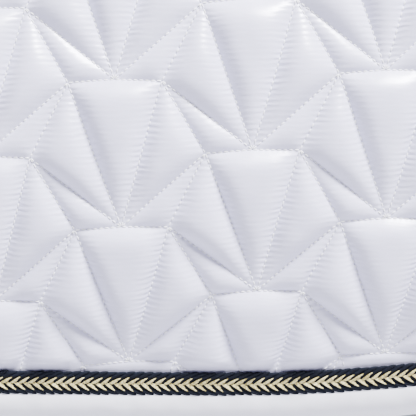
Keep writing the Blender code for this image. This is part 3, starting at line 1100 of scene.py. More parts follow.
@dataclass
class QuiltedSheet:
    """One quilted face of a flap: the satin cover or the cotton lining."""

    side: Side
    face: Face
    mesher: TileMesher
    seam_w: float
    puff: float
    edge_w: float
    hem: float = 23 * MM
    flat_until: float = 33 * MM
    full_from: float = 40 * MM
    top_v: float = -8 * MM
    top_flat_until: float = 2 * MM
    top_full_from: float = 16 * MM
    presses: tuple[Press, ...] = ()
    dimple: float = 0.28 * MM

    def fullness(self, inset: Array, v: Array) -> Array:
        """How far the quilting is puffed, from 0 to 1, at some distances in from the edge and down."""
        down = smoothstep(self.top_flat_until, self.top_full_from, v)
        return smoothstep(self.flat_until, self.full_from, inset) * down

    def height(self, full: Array, raised: Array | float = 0.0) -> Array:
        """The height of the sheet's surface, from its fullness and how far the wadding raises it."""
        return self.edge_w * (1 - full) + (self.seam_w + raised) * full

    def _tiles(self, quilt: Quilt) -> list[Tile]:
        """The five facets of one unit."""
        c = quilt.corners()
        middle = self.mesher.mesh([c["foot"], c["top_right"], c["crown"], c["top_left"]][::-1])
        right = self.mesher.mesh([c["foot"], c["right"], c["top_right"]][::-1])
        filler = self.mesher.mesh([c["top_right"], c["right"], c["next_foot"]][::-1])
        return [middle, right, right.mirrored(), filler, filler.mirrored()]

    def build(self, name: str, drape: Drape, cut: Cut, quilt: Quilt) -> bpy.types.Object:
        """Builds the sheet.

        Args:
            name: the piece's name.
            drape: how the flap hangs.
            cut: the flap's cut edge.
            quilt: the stitched pattern.

        Returns:
            The piece.
        """
        tiles = self._tiles(quilt)
        points, faces, relief, pucker, dimple, owner = [], [], [], [], [], []
        count = 0
        for unit, (u, v) in enumerate(quilt.units(cut)):
            for kind, tile in enumerate(tiles):
                points.append(tile.points + (u, v))
                faces.append(tile.triangles + count)
                relief.append(tile.relief)
                pucker.append(tile.pucker)
                dimple.append(tile.dimple)
                owner.append(np.full(len(tile.triangles), unit * len(tiles) + kind))
                count += len(tile.points)
        flat, faces = np.concatenate(points), np.concatenate(faces)
        relief = np.concatenate(relief) - self.dimple / self.puff * np.concatenate(dimple)
        pucker, owner = np.concatenate(pucker), np.concatenate(owner)
        first, back = self._weld(flat)
        flat, relief, pucker, faces = flat[first], relief[first], pucker[first], back[faces]
        flat, faces, kept, rows = self._trim(quilt.drifted(flat), faces, cut)
        relief, pucker, owner = relief[kept], pucker[kept], owner[rows]
        u, v = flat[:, 0], flat[:, 1]
        full = self.fullness(cut.inset(u, v)[0], v)
        w = self.height(full, self.puff * (relief * (1 + 0.07 * wander(u, v, 3.0, 60 * MM))))
        for press in self.presses:
            held = press.share(u, v)
            w = w * (1 - held) + press.w * held
        placed = drape.place(u, v, w * self.face.value)
        piece = new_mesh(name, placed, turn_outwards(faces, self.side, self.face), flat)
        add_attribute(piece, "pucker", pucker * full)
        self._crease(piece, faces, owner)
        return piece

    @staticmethod
    def _weld(flat: Array) -> tuple[Array, Array]:
        """Joins the facets where they meet.

        Args:
            flat: the flat points of all facets.

        Returns:
            The points kept, and which of them each point has become.
        """
        first = back = np.arange(len(flat))
        for shift in (0.25, 0.75):
            keys = np.round(flat[first] / (0.02 * MM) + shift).astype(np.int64)
            _, chosen, group = np.unique(keys, axis=0, return_index=True, return_inverse=True)
            first, back = first[chosen], group.ravel()[back]
        return first, back

    def _trim(self, flat: Array, faces: Array, cut: Cut) -> tuple[Array, Array, Array, Array]:
        """Cuts the sheet off under the edge trim and under the spine tape, on a clean line.

        Args:
            flat: the sheet's flat points.
            faces: its triangles.
            cut: the flap's cut edge.

        Returns:
            The points and triangles left, which of the points they are, and which of the triangles.
        """
        inset, normal = cut.inset(flat[:, 0], flat[:, 1])
        side_room, top_room = inset - self.hem, flat[:, 1] - self.top_v
        room = np.minimum(side_room, top_room)
        rows = np.flatnonzero(room[faces].mean(1) > 0)
        faces = faces[rows]
        pairs, counts = np.unique(triangle_edges(faces), axis=0, return_counts=True)
        rim = np.unique(pairs[counts == 1])
        flat = flat.copy()
        sideways = rim[side_room[rim] < top_room[rim]]
        flat[sideways] -= normal[sideways] * side_room[sideways][:, None]
        upper = np.setdiff1d(rim, sideways)
        flat[upper, 1] = self.top_v
        kept = np.unique(faces)
        renumber = np.zeros(len(flat), int)
        renumber[kept] = np.arange(len(kept))
        return flat[kept], renumber[faces], kept, rows

    @staticmethod
    def _crease(piece: bpy.types.Object, faces: Array, owner: Array) -> None:
        """Marks the seams sharp: the edges that two different facets share.

        Args:
            piece: the sheet.
            faces: its triangles.
            owner: which facet each of them belongs to.
        """
        edges = triangle_edges(faces)
        size = len(piece.data.vertices)
        keys = edges[:, 0].astype(np.int64) * size + edges[:, 1]
        owners = np.tile(owner, 3)
        order = np.argsort(keys, kind="stable")
        keys, owners = keys[order], owners[order]
        shared = (keys[1:] == keys[:-1]) & (owners[1:] != owners[:-1])
        seam_keys = keys[1:][shared]
        mesh = piece.data
        pairs = np.empty(len(mesh.edges) * 2, np.int32)
        mesh.edges.foreach_get("vertices", pairs)
        pairs = np.sort(pairs.reshape(-1, 2), axis=1).astype(np.int64)
        sharp = np.isin(pairs[:, 0] * size + pairs[:, 1], seam_keys)
        layer = mesh.attributes.get("sharp_edge") or mesh.attributes.new("sharp_edge", "BOOLEAN", "EDGE")
        layer.data.foreach_set("value", sharp)


@dataclass(frozen=True)
class Seam:
    """A line of machine stitches between flat points."""

    points: Sequence[Sequence[float]]
    pitch: float = STITCH_PITCH
    length: float = 2.4 * MM

    def stitches(self) -> tuple[list[Vector], list[Vector]]:
        """The start and the end of each stitch."""
        starts, ends = [], []
        for p, q in zip(self.points, self.points[1:]):
            a, b = Vector(p), Vector(q)
            steps = stitch_count(a, b, self.pitch)
            for i in range(steps):
                middle, reach = (i + 0.5) / steps, 0.5 * self.length / (b - a).length
                starts.append(a.lerp(b, middle - reach))
                ends.append(a.lerp(b, middle + reach))
        return starts, ends


def stitch_lines(seams: Iterable[Seam]) -> tuple[Array, Array]:
    """The flat starts and ends of every stitch of some seams."""
    starts, ends = zip(*(seam.stitches() for seam in seams))
    return np.array(sum(starts, [])), np.array(sum(ends, []))


@dataclass(frozen=True)
class QuiltStitches:
    """The thread of the quilting seams on one face."""

    length: float = 2.35 * MM
    thickness: float = 0.66 * MM
    sunk: float = 0.14 * MM
    sides: int = 4
    rings: int = 4
    inside: float = 0.5 * MM

    def build(self, name: str, sheet: QuiltedSheet, drape: Drape, cut: Cut, quilt: Quilt) -> bpy.types.Object:
        """Lays a stitch at every pitch along every seam that shows.

        Args:
            name: the piece's name.
            sheet: the quilted face that the thread holds.
            drape: how the flap hangs.
            cut: the flap's cut edge.
            quilt: the stitched pattern.

        Returns:
            The piece.
        """
        feet = np.array(quilt.units(cut))[:, None]
        lines = stitch_lines([Seam(seam, length=self.length) for seam in quilt.seams()])
        starts, ends = (quilt.drifted((feet + line).reshape(-1, 2)) for line in lines)
        middle = (starts + ends) / 2
        inset, _ = cut.inset(middle[:, 0], middle[:, 1])
        shown = (inset > sheet.flat_until - self.inside) & (starts[:, 1] > sheet.top_flat_until)
        starts, ends, inset = starts[shown], ends[shown], inset[shown]
        w = sheet.height(sheet.fullness(inset, starts[:, 1])) + self.thickness * 0.5 - self.sunk
        shape = (self.thickness, self.sides, self.rings)
        return thread_piece(name, drape, (starts, ends), w * sheet.face.value, shape, sheet.face)


def thread_piece(
    name: str,
    drape: Drape,
    lines: tuple[Array, Array],
    w: Array,
    shape: tuple[float, int, int],
    face: Face,
) -> bpy.types.Object:
    """Stitches of thread between pairs of flat points.

    Args:
        name: the piece's name.
        drape: how the flap hangs.
        lines: the stitches' flat starts and ends.
        w: the height of each stitch's middle.
        shape: the thread's thickness, and each stitch's sides and rings.
        face: the face that they lie on.

    Returns:
        The piece.
    """
    starts, ends = lines
    first = drape.place(*starts.T, w)
    last = drape.place(*ends.T, w)
    middle = (first + last) / 2
    above = drape.place(*((starts + ends) / 2).T, w + face.value * MM)
    x = last - first
    length = np.linalg.norm(x, axis=1)[:, None]
    x = x / length
    z = above - middle
    z -= (z * x).sum(1)[:, None] * x
    z /= np.linalg.norm(z, axis=1)[:, None]
    y = np.cross(z, x)
    thickness, sides, rings = shape
    master = grain((1.0, thickness, thickness * 0.9), sides, rings)
    frames = np.stack([x * length, y, z], 1)
    points, faces = copies(master, middle, frames)
    piece = new_mesh(name, points, faces)
    random = np.random.default_rng(7).random(len(middle))
    add_attribute(piece, "strand", np.repeat(random, len(master[0])))
    return piece


# ---------------------------------------------------------------- trims


def loft(name: str, rings: Array, uv: Array) -> bpy.types.Object:
    """A closed tube through rings, with flat caps.

    Args:
        name: the piece's name.
        rings: for each station, the points round its section.
        uv: the flat position of each of those points.

    Returns:
        The piece.
    """
    stations, around = rings.shape[:2]
    ids = np.arange(stations * around).reshape(stations, around)
    beside = np.roll(ids, -1, axis=1)
    quads = np.stack([ids[:-1], beside[:-1], beside[1:], ids[1:]], -1).reshape(-1, 4)
    points = rings.reshape(-1, 3)
    faces = [*quads.tolist(), ids[0, ::-1].tolist(), ids[-1].tolist()]
    triangles = np.concatenate([quads[:, [0, 1, 2]], quads[:, [0, 2, 3]]])
    if volume(points - points.mean(0), triangles) < 0:
        faces = [face[::-1] for face in faces]
    return new_mesh(name, points, faces, uv.reshape(-1, 2))


def tape_rise(v: Array) -> Array:
    """How much a trim rises to cross the spine tape."""
    return 1.15 * MM * (1 - smoothstep(-3 * MM, 3 * MM, v))


@dataclass(frozen=True)
class Binding:
    """The folded tape round a flap's cut edge."""

    width: float = 20.0 * MM
    thickness: float = 0.6 * MM
    half: float = 2.15 * MM
    belly: float = 3.0 * MM
    step: float = 2.2 * MM
    reach: float = 2.0 * MM
    wrinkle: float = 0.33 * MM
    inner_v: float = 0.03

    def _section(self) -> tuple[Array, Array, Array]:
        """The section, round the tape's outer skin and back along its inner skin.

        Returns:
            Distance in, height and how loose the tape is.
        """
        flat = np.linspace(1.0, 0.0, 13)
        leg_d = self.half - self.reach + flat * (self.width - self.half + self.reach)
        nose = np.radians(np.linspace(90, -90, 11))[1:-1]
        nose_d = self.half * (1 - np.cos(nose)) - self.reach
        d = np.concatenate([leg_d, nose_d, leg_d[::-1]])
        bulge = self.belly * np.sin(flat * math.pi) ** 0.8
        outer = self.half + self.thickness + bulge
        w = np.concatenate([outer, (self.half + self.thickness) * np.sin(nose), -outer[::-1]])
        loose = np.concatenate([np.sin(flat * math.pi), np.zeros(len(nose)), np.sin(flat[::-1] * math.pi)])
        d[len(flat) : len(flat) + len(nose)] -= self.thickness * np.cos(nose)
        inner_d = np.concatenate([leg_d[::3], nose_d[::2], leg_d[::-3]])[::-1]
        leg_w = np.full(len(leg_d[::3]), self.half)
        inner_w = np.concatenate([leg_w, self.half * np.sin(nose[::2]), -leg_w])[::-1]
        loose = np.concatenate([loose, 0 * inner_d])
        return np.concatenate([d, inner_d]), np.concatenate([w, inner_w]), loose

    def build(self, name: str, ribbon: Ribbon) -> bpy.types.Object:
        """Lofts the tape along a ribbon, with soft wrinkles across it.

        Args:
            name: the piece's name.
            ribbon: what it is laid along.

        Returns:
            The piece.
        """
        d, w, loose = self._section()
        s = np.linspace(0.0, ribbon.length, round(ribbon.length / self.step))
        ss, dd = np.meshgrid(s, d, indexing="ij")
        ww = np.broadcast_to(w, ss.shape).copy()
        slant = ss + 0.35 * dd
        wrinkle = 0.55 * wander(slant, dd * 0.35, 5.0, 17 * MM) + 0.45 * wander(slant, dd * 0.5, 6.0, 43 * MM)
        ww += np.sign(ww) * loose * wrinkle * self.wrinkle
        u, v = ribbon.flat(ss.ravel(), dd.ravel())
        lift = np.where(ww.ravel() > 0, tape_rise(v), 0.0)
        points = ribbon.drape.place(u, v, ww.ravel() + lift).reshape(*ss.shape, 3)
        uv = np.stack([ss, dd + np.sign(ww) * self.inner_v], -1)
        return loft(name, points, uv)


@dataclass(frozen=True)
class Braid:
    """The navy braid with its gold wheat-ear, laid round the flap just inside the binding."""

    centre: float = 25.0 * MM
    half: float = 7.1 * MM
    base_w: float = 2.3 * MM
    ground_step: float = 2.4 * MM
    end_gap: float = 3.4 * MM
    pitch: float = 4.8 * MM
    gold_start: float = 4.6 * MM
    gold_size: Triple = (7.8 * MM, 1.2 * MM, 1.3 * MM)
    gold_angle: float = math.radians(35)
    gold_offset: float = 1.85 * MM
    gold_shift: float = -0.2 * MM
    navy_size: Triple = (8.6 * MM, 2.2 * MM, 1.9 * MM)
    navy_angle: float = math.radians(17)
    navy_offsets: Pair = (4.6 * MM, 5.9 * MM)
    turn_spread: float = 0.045
    size_spread: float = 0.035
    along_spread: float = 0.09 * MM
    height_spread: float = 0.05 * MM

    def base(self, name: str, ribbon: Ribbon) -> bpy.types.Object:
        """The close navy ground that the strands lie on.

        Args:
            name: the piece's name.
            ribbon: what it is laid along.

        Returns:
            The piece.
        """
        d = np.array([-1, -0.97, -0.7, -0.35, 0, 0.35, 0.7, 0.97, 1, 0.5, -0.5]) * (self.half - 0.7 * MM)
        w = np.array([0, 0.7, 1.0, 1.05, 1.0, 1.05, 1.0, 0.7, 0, 0, 0]) * MM + self.base_w
        s = np.linspace(0.0, ribbon.length, round(ribbon.length / self.ground_step))
        ss, dd = np.meshgrid(s, d, indexing="ij")
        u, v = ribbon.flat(ss.ravel(), dd.ravel() + self.centre)
        points = ribbon.drape.place(u, v, np.broadcast_to(w, ss.shape).ravel() + tape_rise(v))
        return loft(name, points.reshape(*ss.shape, 3), np.stack([ss, dd], -1))

    def _strands(
        self, name: str, ribbon: Ribbon, master: Master, rows: Iterable[Triple], seed: int
    ) -> bpy.types.Object:
        """Copies a strand along the ribbon.

        Args:
            name: the piece's name.
            ribbon: what it is laid along.
            master: the strand, at the origin, long in X.
            rows: for each row, the start of its first strand, its offset across and its angle.
            seed: for the strands' small differences.

        Returns:
            The piece.
        """
        random = np.random.default_rng(seed)
        points, faces = master
        parts, triangles, shades = [], [], []
        count = 0
        for start, offset, angle in rows:
            for place in np.arange(start, ribbon.length - self.end_gap, self.pitch):
                turn = angle + random.normal(0, self.turn_spread)
                size = 1 + random.normal(0, self.size_spread)
                x, y = points[:, 0] * size, points[:, 1] * size * np.sign(angle)
                along = place + random.normal(0, self.along_spread) + x * math.cos(turn) - y * math.sin(turn)
                across = self.centre + offset + x * math.sin(turn) + y * math.cos(turn)
                height = points[:, 2] + random.normal(0, self.height_spread)
                parts.append(np.stack([along, across, height], -1))
                triangles.append(faces + count)
                count += len(points)
                shades.append(np.full(len(points), random.random()))
        where = np.concatenate(parts)
        u, v = ribbon.flat(where[:, 0], where[:, 1])
        w = where[:, 2] + self.base_w + tape_rise(v)
        placed = ribbon.drape.place(u, v, w)
        triangles = np.concatenate(triangles)
        if volume(placed - placed.mean(0), triangles) < 0:
            triangles = triangles[:, ::-1]
        piece = new_mesh(name, placed, triangles)
        add_attribute(piece, "strand", np.concatenate(shades))
        return piece

    def gold(self, name: str, ribbon: Ribbon) -> bpy.types.Object:
        """The gold arms, which open towards the rear and interlock along the middle.

        Args:
            name: the piece's name.
            ribbon: what they are laid along.

        Returns:
            The piece.
        """
        points, faces = grain(self.gold_size, 6, 8, (2.2, 0.72))
        lean = points[:, 0] / self.gold_size[0]
        points[:, 2] += 1.35 * MM + 0.7 * MM * lean
        inner = points * (0.6, 0.85, 0.85)
        inner[:, 0] -= 0.9 * MM
        inner[:, 1] -= 0.75 * MM
        inner[:, 2] -= 0.05 * MM
        rows = (
            (self.gold_start, self.gold_offset + self.gold_shift, self.gold_angle),
            (self.gold_start + self.pitch / 2, -self.gold_offset + self.gold_shift, -self.gold_angle),
        )
        pair = (np.concatenate([points, inner]), np.concatenate([faces, faces + len(points)]))
        return self._strands(name, ribbon, pair, rows, 11)

    def navy(self, name: str, ribbon: Ribbon) -> bpy.types.Object:
        """The navy strands of both borders.

        Args:
            name: the piece's name.
            ribbon: what they are laid along.

        Returns:
            The piece.
        """
        points, faces = grain(self.navy_size, 6, 8, (2.0, 0.6))
        points[:, 2] += 1.0 * MM + 0.35 * MM * points[:, 0] / self.navy_size[0]
        rows = tuple(
            ((4.4 + 2.4 * row + 1.2 * (side < 0)) * MM, side * offset, side * self.navy_angle)
            for side in (1, -1)
            for row, offset in enumerate(self.navy_offsets)
        )
        return self._strands(name, ribbon, (points, faces), rows, 12)


# ---------------------------------------------------------------- webbing, tapes and label


@dataclass
class Course:
    """The line that a strip follows over a flap, as distances and heights."""

    distances: Array
    heights: Array | float

    def __post_init__(self) -> None:
        """Measures the line and its direction."""
        self._points = np.stack(np.broadcast_arrays(self.distances, self.heights), -1)
        self._along = travelled(self._points)
        turn = np.gradient(self._points, self._along, axis=0)
        self._turn = turn / np.linalg.norm(turn, axis=1)[:, None]
        self.length = float(self._along[-1])

    def at(self, along: Array, height: Array) -> tuple[Array, Array]:
        """Points along the course.

        Args:
            along: how far along it they are.
            height: how far to its left they are.

        Returns:
            Their distances and heights over the flap.
        """
        a, w, ta, tw = (
            np.interp(along, self._along, column)
            for column in (*self._points.T, *self._turn.T)
        )
        size = np.hypot(ta, tw)
        return a - tw / size * height, w + ta / size * height


@dataclass(frozen=True)
class Strip:
    """A strip of webbing, tape or cloth on a flap, running along u or along v.

    Its thickness is negative where it lies to the right of its course.
    """

    name: str
    course: Course
    middle: float
    width: float
    thickness: float
    lengthways: bool = False
    face: Face = Face.OUTER
    soft: float = 0.35 * MM
    cell: float = 2.5 * MM

    def build(self, drape: Drape) -> bpy.types.Object:
        """Models the strip flat, then lays it along its course.

        Args:
            drape: how the flap hangs.

        Returns:
            The piece.
        """
        length = self.course.length
        cells = (max(4, round(length / self.cell)), max(4, round(self.width / self.cell)))
        piece = slab((length, self.width, abs(self.thickness)), cells, self.soft)

        def place(flat: Array) -> Array:
            """Lays the flat strip's points along the course."""
            height = flat[:, 2] if self.thickness > 0 else -flat[:, 2]
            a, w = self.course.at(flat[:, 0] + length / 2, height)
            across = self.middle + flat[:, 1]
            u, v = (a, across) if self.lengthways else (across, a)
            return drape.place(u, v, w * self.face.value)

        return reshape(piece, self.name, place)


def box_seams(centre: Pair, half: Pair) -> list[Seam]:
    """The seams of a sewn box with a cross in it.

    Args:
        centre: the box's flat middle.
        half: half of its size along u and v.

    Returns:
        The seams.
    """
    (u, v), (a, b) = centre, half
    corners = [(u - a, v - b), (u + a, v - b), (u + a, v + b), (u - a, v + b)]
    outline = Seam((*corners, corners[0]))
    return [outline, Seam((corners[0], corners[2])), Seam((corners[1], corners[3]))]


def sew(name: str, drape: Drape, seams: Iterable[Seam], w: float, face: Face) -> bpy.types.Object:
    """Lays stitches along seams.

    Args:
        name: the piece's name.
        drape: how the flap hangs.
        seams: the seams.
        w: the height of the sewn surface.
        face: the face that they lie on.

    Returns:
        The piece.
    """
    starts, ends = stitch_lines(seams)
    return thread_piece(name, drape, (starts, ends), np.full(len(starts), w), (0.55 * MM, 5, 4), face)


# ---------------------------------------------------------------- the sub-assemblies


@dataclass(frozen=True)
class Hold:
    """What a piece moves with: one body, or two bodies with the ends of a bend between them, which is not
    built: such a piece is only fixed in place.
    """

    body: str
    other: str = ""
    start: Sequence[float] = ()
    end: Sequence[float] = ()


def dress(
    piece: bpy.types.Object,
    finish: bpy.types.Material,
    hold: Hold,
    nodes: Sequence[str] | None = (),
) -> bpy.types.Object:
    """Gives a piece its finish and its body, and hides the frame nodes that it stands for; a piece held by
    two bodies gets no body and is only fixed in place.

    Args:
        piece: the piece.
        finish: its material.
        hold: the body it is attached to; a hold with a second body leaves the piece unattached, fixed where
            it is.
        nodes: the frame nodes that it stands for, or None where it says nothing of them.

    Returns:
        The piece.
    """
    piece.data.materials.append(finish)
    if hold.other:
        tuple(hold.start)
        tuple(hold.end)
        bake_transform(piece)
    else:
        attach(piece, hold.body)
    if nodes is not None:
        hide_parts(*nodes)
    LOG.info("%s: %d faces", piece.name, len(piece.data.polygons))
    return piece


@dataclass(frozen=True)
class Keeper:
    """The webbing loop that the girth passes behind: its arch, and the tabs that are sewn down."""

    centre: Pair = (-150 * MM, 350 * MM)
    half_length: float = 65 * MM
    width: float = 40 * MM
    thickness: float = 1.6 * MM
    arch_half: float = 45 * MM
    arch_rise: float = 15.4 * MM
    arch_sag: float = 1.2 * MM
    arch_ends: Pair = (-4 * MM, 20 * MM)
    tab_u: float = 55.5 * MM
    tab_half: Pair = (9.5 * MM, 19 * MM)
    box_u: float = 56 * MM
    box_half: Pair = (6.5 * MM, 17 * MM)

    def course(self, sewn_w: float) -> Course:
        """The webbing's course, from one tab over the arch to the other."""
        xs = np.linspace(-self.half_length, self.half_length, 90)
        rise = self.arch_rise - self.arch_sag * (xs / self.arch_half) ** 2
        lift = smoothstep(*self.arch_ends, self.arch_half - np.abs(xs)) * rise
        return Course(self.centre[0] + xs, sewn_w + lift)


@dataclass(frozen=True)
class Billet:
    """The billet strap: a sewn leg that turns back at its eye, and a free end that closes on it."""

    u: float = -170 * MM
    width: float = 25 * MM
    thickness: float = 1.6 * MM
    top_v: float = 72 * MM
    step_v: Pair = (88 * MM, 97 * MM)
    inner_w: float = 7.9 * MM
    eye_v: float = 175.6 * MM
    eye_radius: float = 4.8 * MM
    back_v: Pair = (171 * MM, 163 * MM)
    back_w: float = 10.8 * MM
    free_v: Pair = (163.2 * MM, 88 * MM)
    curl: float = 1.1 * MM
    curl_v: float = 96 * MM
    bend_v: Pair = (163 * MM, 157 * MM)
    tape_v: Pair = (94 * MM, 148 * MM)
    tape_width: float = 23 * MM
    tape_thickness: float = 1.1 * MM
    loop_w: float = 8.0 * MM
    hook_w: float = 9.6 * MM
    sewn_v: float = 80 * MM
    sewn_half: Pair = (12 * MM, 8 * MM)
    box_half: Pair = (9.5 * MM, 6 * MM)

    def leg(self, sewn_w: float) -> Course:
        """The course of the leg, down the flap, round the eye and a little way back."""
        down = np.linspace(self.top_v, self.eye_v, 46)
        sunk = (self.inner_w - self.thickness - sewn_w) * (1 - smoothstep(*self.step_v, down))
        turn = np.radians(np.linspace(90, -90, 19)[1:15])
        round_v = self.eye_v + self.eye_radius * np.cos(turn)
        round_w = self.inner_w + self.eye_radius - self.eye_radius * np.sin(turn)
        back = [12.9 * MM, 11.3 * MM, self.back_w, self.back_w, self.back_w]
        return Course(
            np.concatenate([down, round_v, np.linspace(*self.back_v, 5)]),
            np.concatenate([self.inner_w - sunk, round_w, back]),
        )

    def free_end(self) -> Course:
        """The course of the free end, which curls a little at its tip."""
        up = np.linspace(*self.free_v, 40)
        return Course(up, self.back_w + self.curl * (1 - smoothstep(self.free_v[1], self.curl_v, up)))

    def tape(self, w: float) -> Course:
        """The course of a hook or loop tape at a height."""
        return Course(np.linspace(*self.tape_v, 28), w)


@dataclass(frozen=True)
class Label:
    """The blank care label, sewn in under the binding and hanging up the lining."""

    u: float = 205 * MM
    v: Pair = (468 * MM, 416 * MM)
    width: float = 28 * MM
    thickness: float = 0.4 * MM
    soft: float = 0.12 * MM

    def course(self) -> Course:
        """The label's course, from the binding over the lining's rim."""
        v = np.linspace(*self.v, 27)
        over_rim = 3.0 * MM * smoothstep(462 * MM, 440 * MM, v)
        w = 2.9 * MM + over_rim + 0.6 * MM * smoothstep(430 * MM, 416 * MM, v)
        return Course(v, w)


@dataclass
class Flap:
    """One flap: its quilted faces, its edge trim and what is sewn to it."""

    side: Side
    finishes: Finishes
    quilt: Quilt = field(default_factory=Quilt)
    cut: Cut = field(default_factory=Cut)
    binding: Binding = field(default_factory=Binding)
    braid: Braid = field(default_factory=Braid)
    keeper: Keeper = field(default_factory=Keeper)
    billet: Billet = field(default_factory=Billet)
    label: Label = field(default_factory=Label)
    binding_centre: float = 10 * MM
    sewn_w: float = 4.4 * MM
    pressed_w: float = 4.3 * MM
    thread_lift: float = 0.15 * MM
    fold_start: Pair = (13 * MM, 4 * MM)
    fold_end: Pair = (24 * MM, -2 * MM)

    def __post_init__(self) -> None:
        """Hangs the flap and says what its pieces move with."""
        self.drape = Drape(self.side)
        self.stays = Hold(self._name("flap"))
        (start_y, start_z), (end_y, end_z) = self.fold_start, self.fold_end
        y = self.side.value
        self.bends = Hold("spine", self._name("flap"), (0, y * start_y, start_z), (0, y * end_y, end_z))

    def _name(self, what: str) -> str:
        """The name of a piece, node or body on this side."""
        return f"{self.side.label}_{what}"

    def presses(self) -> tuple[Press, ...]:
        """Where the keeper's tabs and the strap's top are sewn down."""
        keeper, billet, (u, v) = self.keeper, self.billet, self.keeper.centre
        tabs = [Press((u + end * keeper.tab_u, v), keeper.tab_half, self.pressed_w) for end in (-1, 1)]
        return (*tabs, Press((billet.u, billet.sewn_v), billet.sewn_half, self.pressed_w))

    def build_cover(self) -> None:
        """The satin cover with its quilting thread."""
        mesher = TileMesher(2, ((0.7 * MM, 0.0), (1.7 * MM, 1.6 * MM), (3.0 * MM, 2.0 * MM)), 2.4 * MM)
        sheet = QuiltedSheet(
            self.side,
            Face.OUTER,
            mesher,
            seam_w=1.2 * MM,
            puff=7.2 * MM,
            edge_w=2.0 * MM,
            presses=self.presses(),
        )
        cover = sheet.build(self._name("satin_cover"), self.drape, self.cut, self.quilt)
        dress(cover, self.finishes.satin, self.bends, [self._name("cover"), self._name("wadding")])
        thread = QuiltStitches().build(self._name("quilting_thread"), sheet, self.drape, self.cut, self.quilt)
        dress(thread, self.finishes.thread, self.stays)

    def build_lining(self) -> None:
        """The cotton lining, quilted through with the cover."""
        mesher = TileMesher(1, ((1.0 * MM, 0.0), (3.0 * MM, 3.4 * MM)), 4.2 * MM)
        sheet = QuiltedSheet(
            self.side, Face.INNER, mesher, seam_w=1.0 * MM, puff=4.6 * MM, edge_w=2.0 * MM, dimple=0.0
        )
        lining = sheet.build(self._name("cotton_lining"), self.drape, self.cut, self.quilt)
        dress(lining, self.finishes.lining, self.bends, [self._name("lining")])
        stitches = QuiltStitches(rings=3)
        thread = stitches.build(self._name("lining_thread"), sheet, self.drape, self.cut, self.quilt)
        dress(thread, self.finishes.thread, self.stays)

    def build_trim(self) -> None:
        """Binding and braid, which run on over the spine to the other flap's."""
        binding = self.binding.build(
            self._name("binding_tape"), Ribbon(self.drape, self.cut, self.binding_centre)
        )
        nodes = [self._name("edge_binding"), "spine_front_binding", "spine_rear_binding"]
        dress(binding, self.finishes.binding, self.bends, nodes)
        ribbon = Ribbon(self.drape, self.cut, self.braid.centre)
        ground = self.braid.base(self._name("braid_ground"), ribbon)
        navy = self.braid.navy(self._name("navy_strands"), ribbon)
        gold = self.braid.gold(self._name("gold_strands"), ribbon)
        dress(ground, self.finishes.navy, self.bends)
        nodes = [self._name("navy_braid"), "spine_front_navy_braid", "spine_rear_navy_braid"]
        dress(navy, self.finishes.navy, self.bends, nodes)
        nodes = [self._name("gold_braid"), "spine_front_gold_braid", "spine_rear_gold_braid"]
        dress(gold, self.finishes.gold, self.bends, nodes)

    def _sew_down(self, name: str, seams: Sequence[Seam], thickness: float) -> None:
        """Sews webbing of a thickness down to the cover."""
        height = self.sewn_w + thickness + self.thread_lift
        thread = sew(self._name(name), self.drape, seams, height, Face.OUTER)
        dress(thread, self.finishes.thread, self.stays)

    def build_keeper(self) -> None:
        """The webbing loop that the girth passes behind."""
        keeper, (u, v) = self.keeper, self.keeper.centre
        course = keeper.course(self.sewn_w)
        strip = Strip(
            self._name("keeper_webbing"), course, v, keeper.width, keeper.thickness, lengthways=True
        )
        webbing = strip.build(self.drape)
        dress(webbing, self.finishes.webbing, self.stays, [self._name("girth_keeper")])
        seams = [box_seams((u + end * keeper.box_u, v), keeper.box_half) for end in (-1, 1)]
        self._sew_down("keeper_thread", sum(seams, []), keeper.thickness)

    def build_strap(self) -> None:
        """The billet strap: sewn leg and eye, its tapes, and the free end that closes on it."""
        billet = self.billet
        size = (billet.u, billet.width, -billet.thickness)
        leg = Strip(self._name("strap_leg"), billet.leg(self.sewn_w), *size, cell=1.6 * MM).build(self.drape)
        dress(leg, self.finishes.webbing, self.stays, [self._name("strap_base")])
        tape_size = (billet.u, billet.tape_width, billet.tape_thickness)
        loop = Strip(self._name("loop_tape"), billet.tape(billet.loop_w), *tape_size).build(self.drape)
        dress(loop, self.finishes.loop, self.stays, [self._name("strap_loop_tape")])
        hook = Strip(self._name("hook_tape"), billet.tape(billet.hook_w), *tape_size).build(self.drape)
        tongue = Hold(self._name("tongue"))
        dress(hook, self.finishes.hook, tongue, [self._name("strap_hook_tape")])
        free_end = Strip(self._name("strap_free_end"), billet.free_end(), *size).build(self.drape)
        high, low = (self.drape.place(billet.u, v, billet.back_w) for v in billet.bend_v)
        folds = Hold(self.stays.body, tongue.body, high, low)
        dress(free_end, self.finishes.webbing, folds, [self._name("strap_tongue")])
        seams = box_seams((billet.u, billet.sewn_v), billet.box_half)
        self._sew_down("strap_thread", seams, billet.thickness)

    def build_label(self) -> None:
        """The blank care label on the lining side."""
        label = self.label
        strip = Strip(
            self._name("label_cloth"),
            label.course(),
            label.u,
            label.width,
            label.thickness,
            face=Face.INNER,
            soft=label.soft,
        )
        cloth = dress(strip.build(self.drape), self.finishes.label, self.stays, ["care_label"])


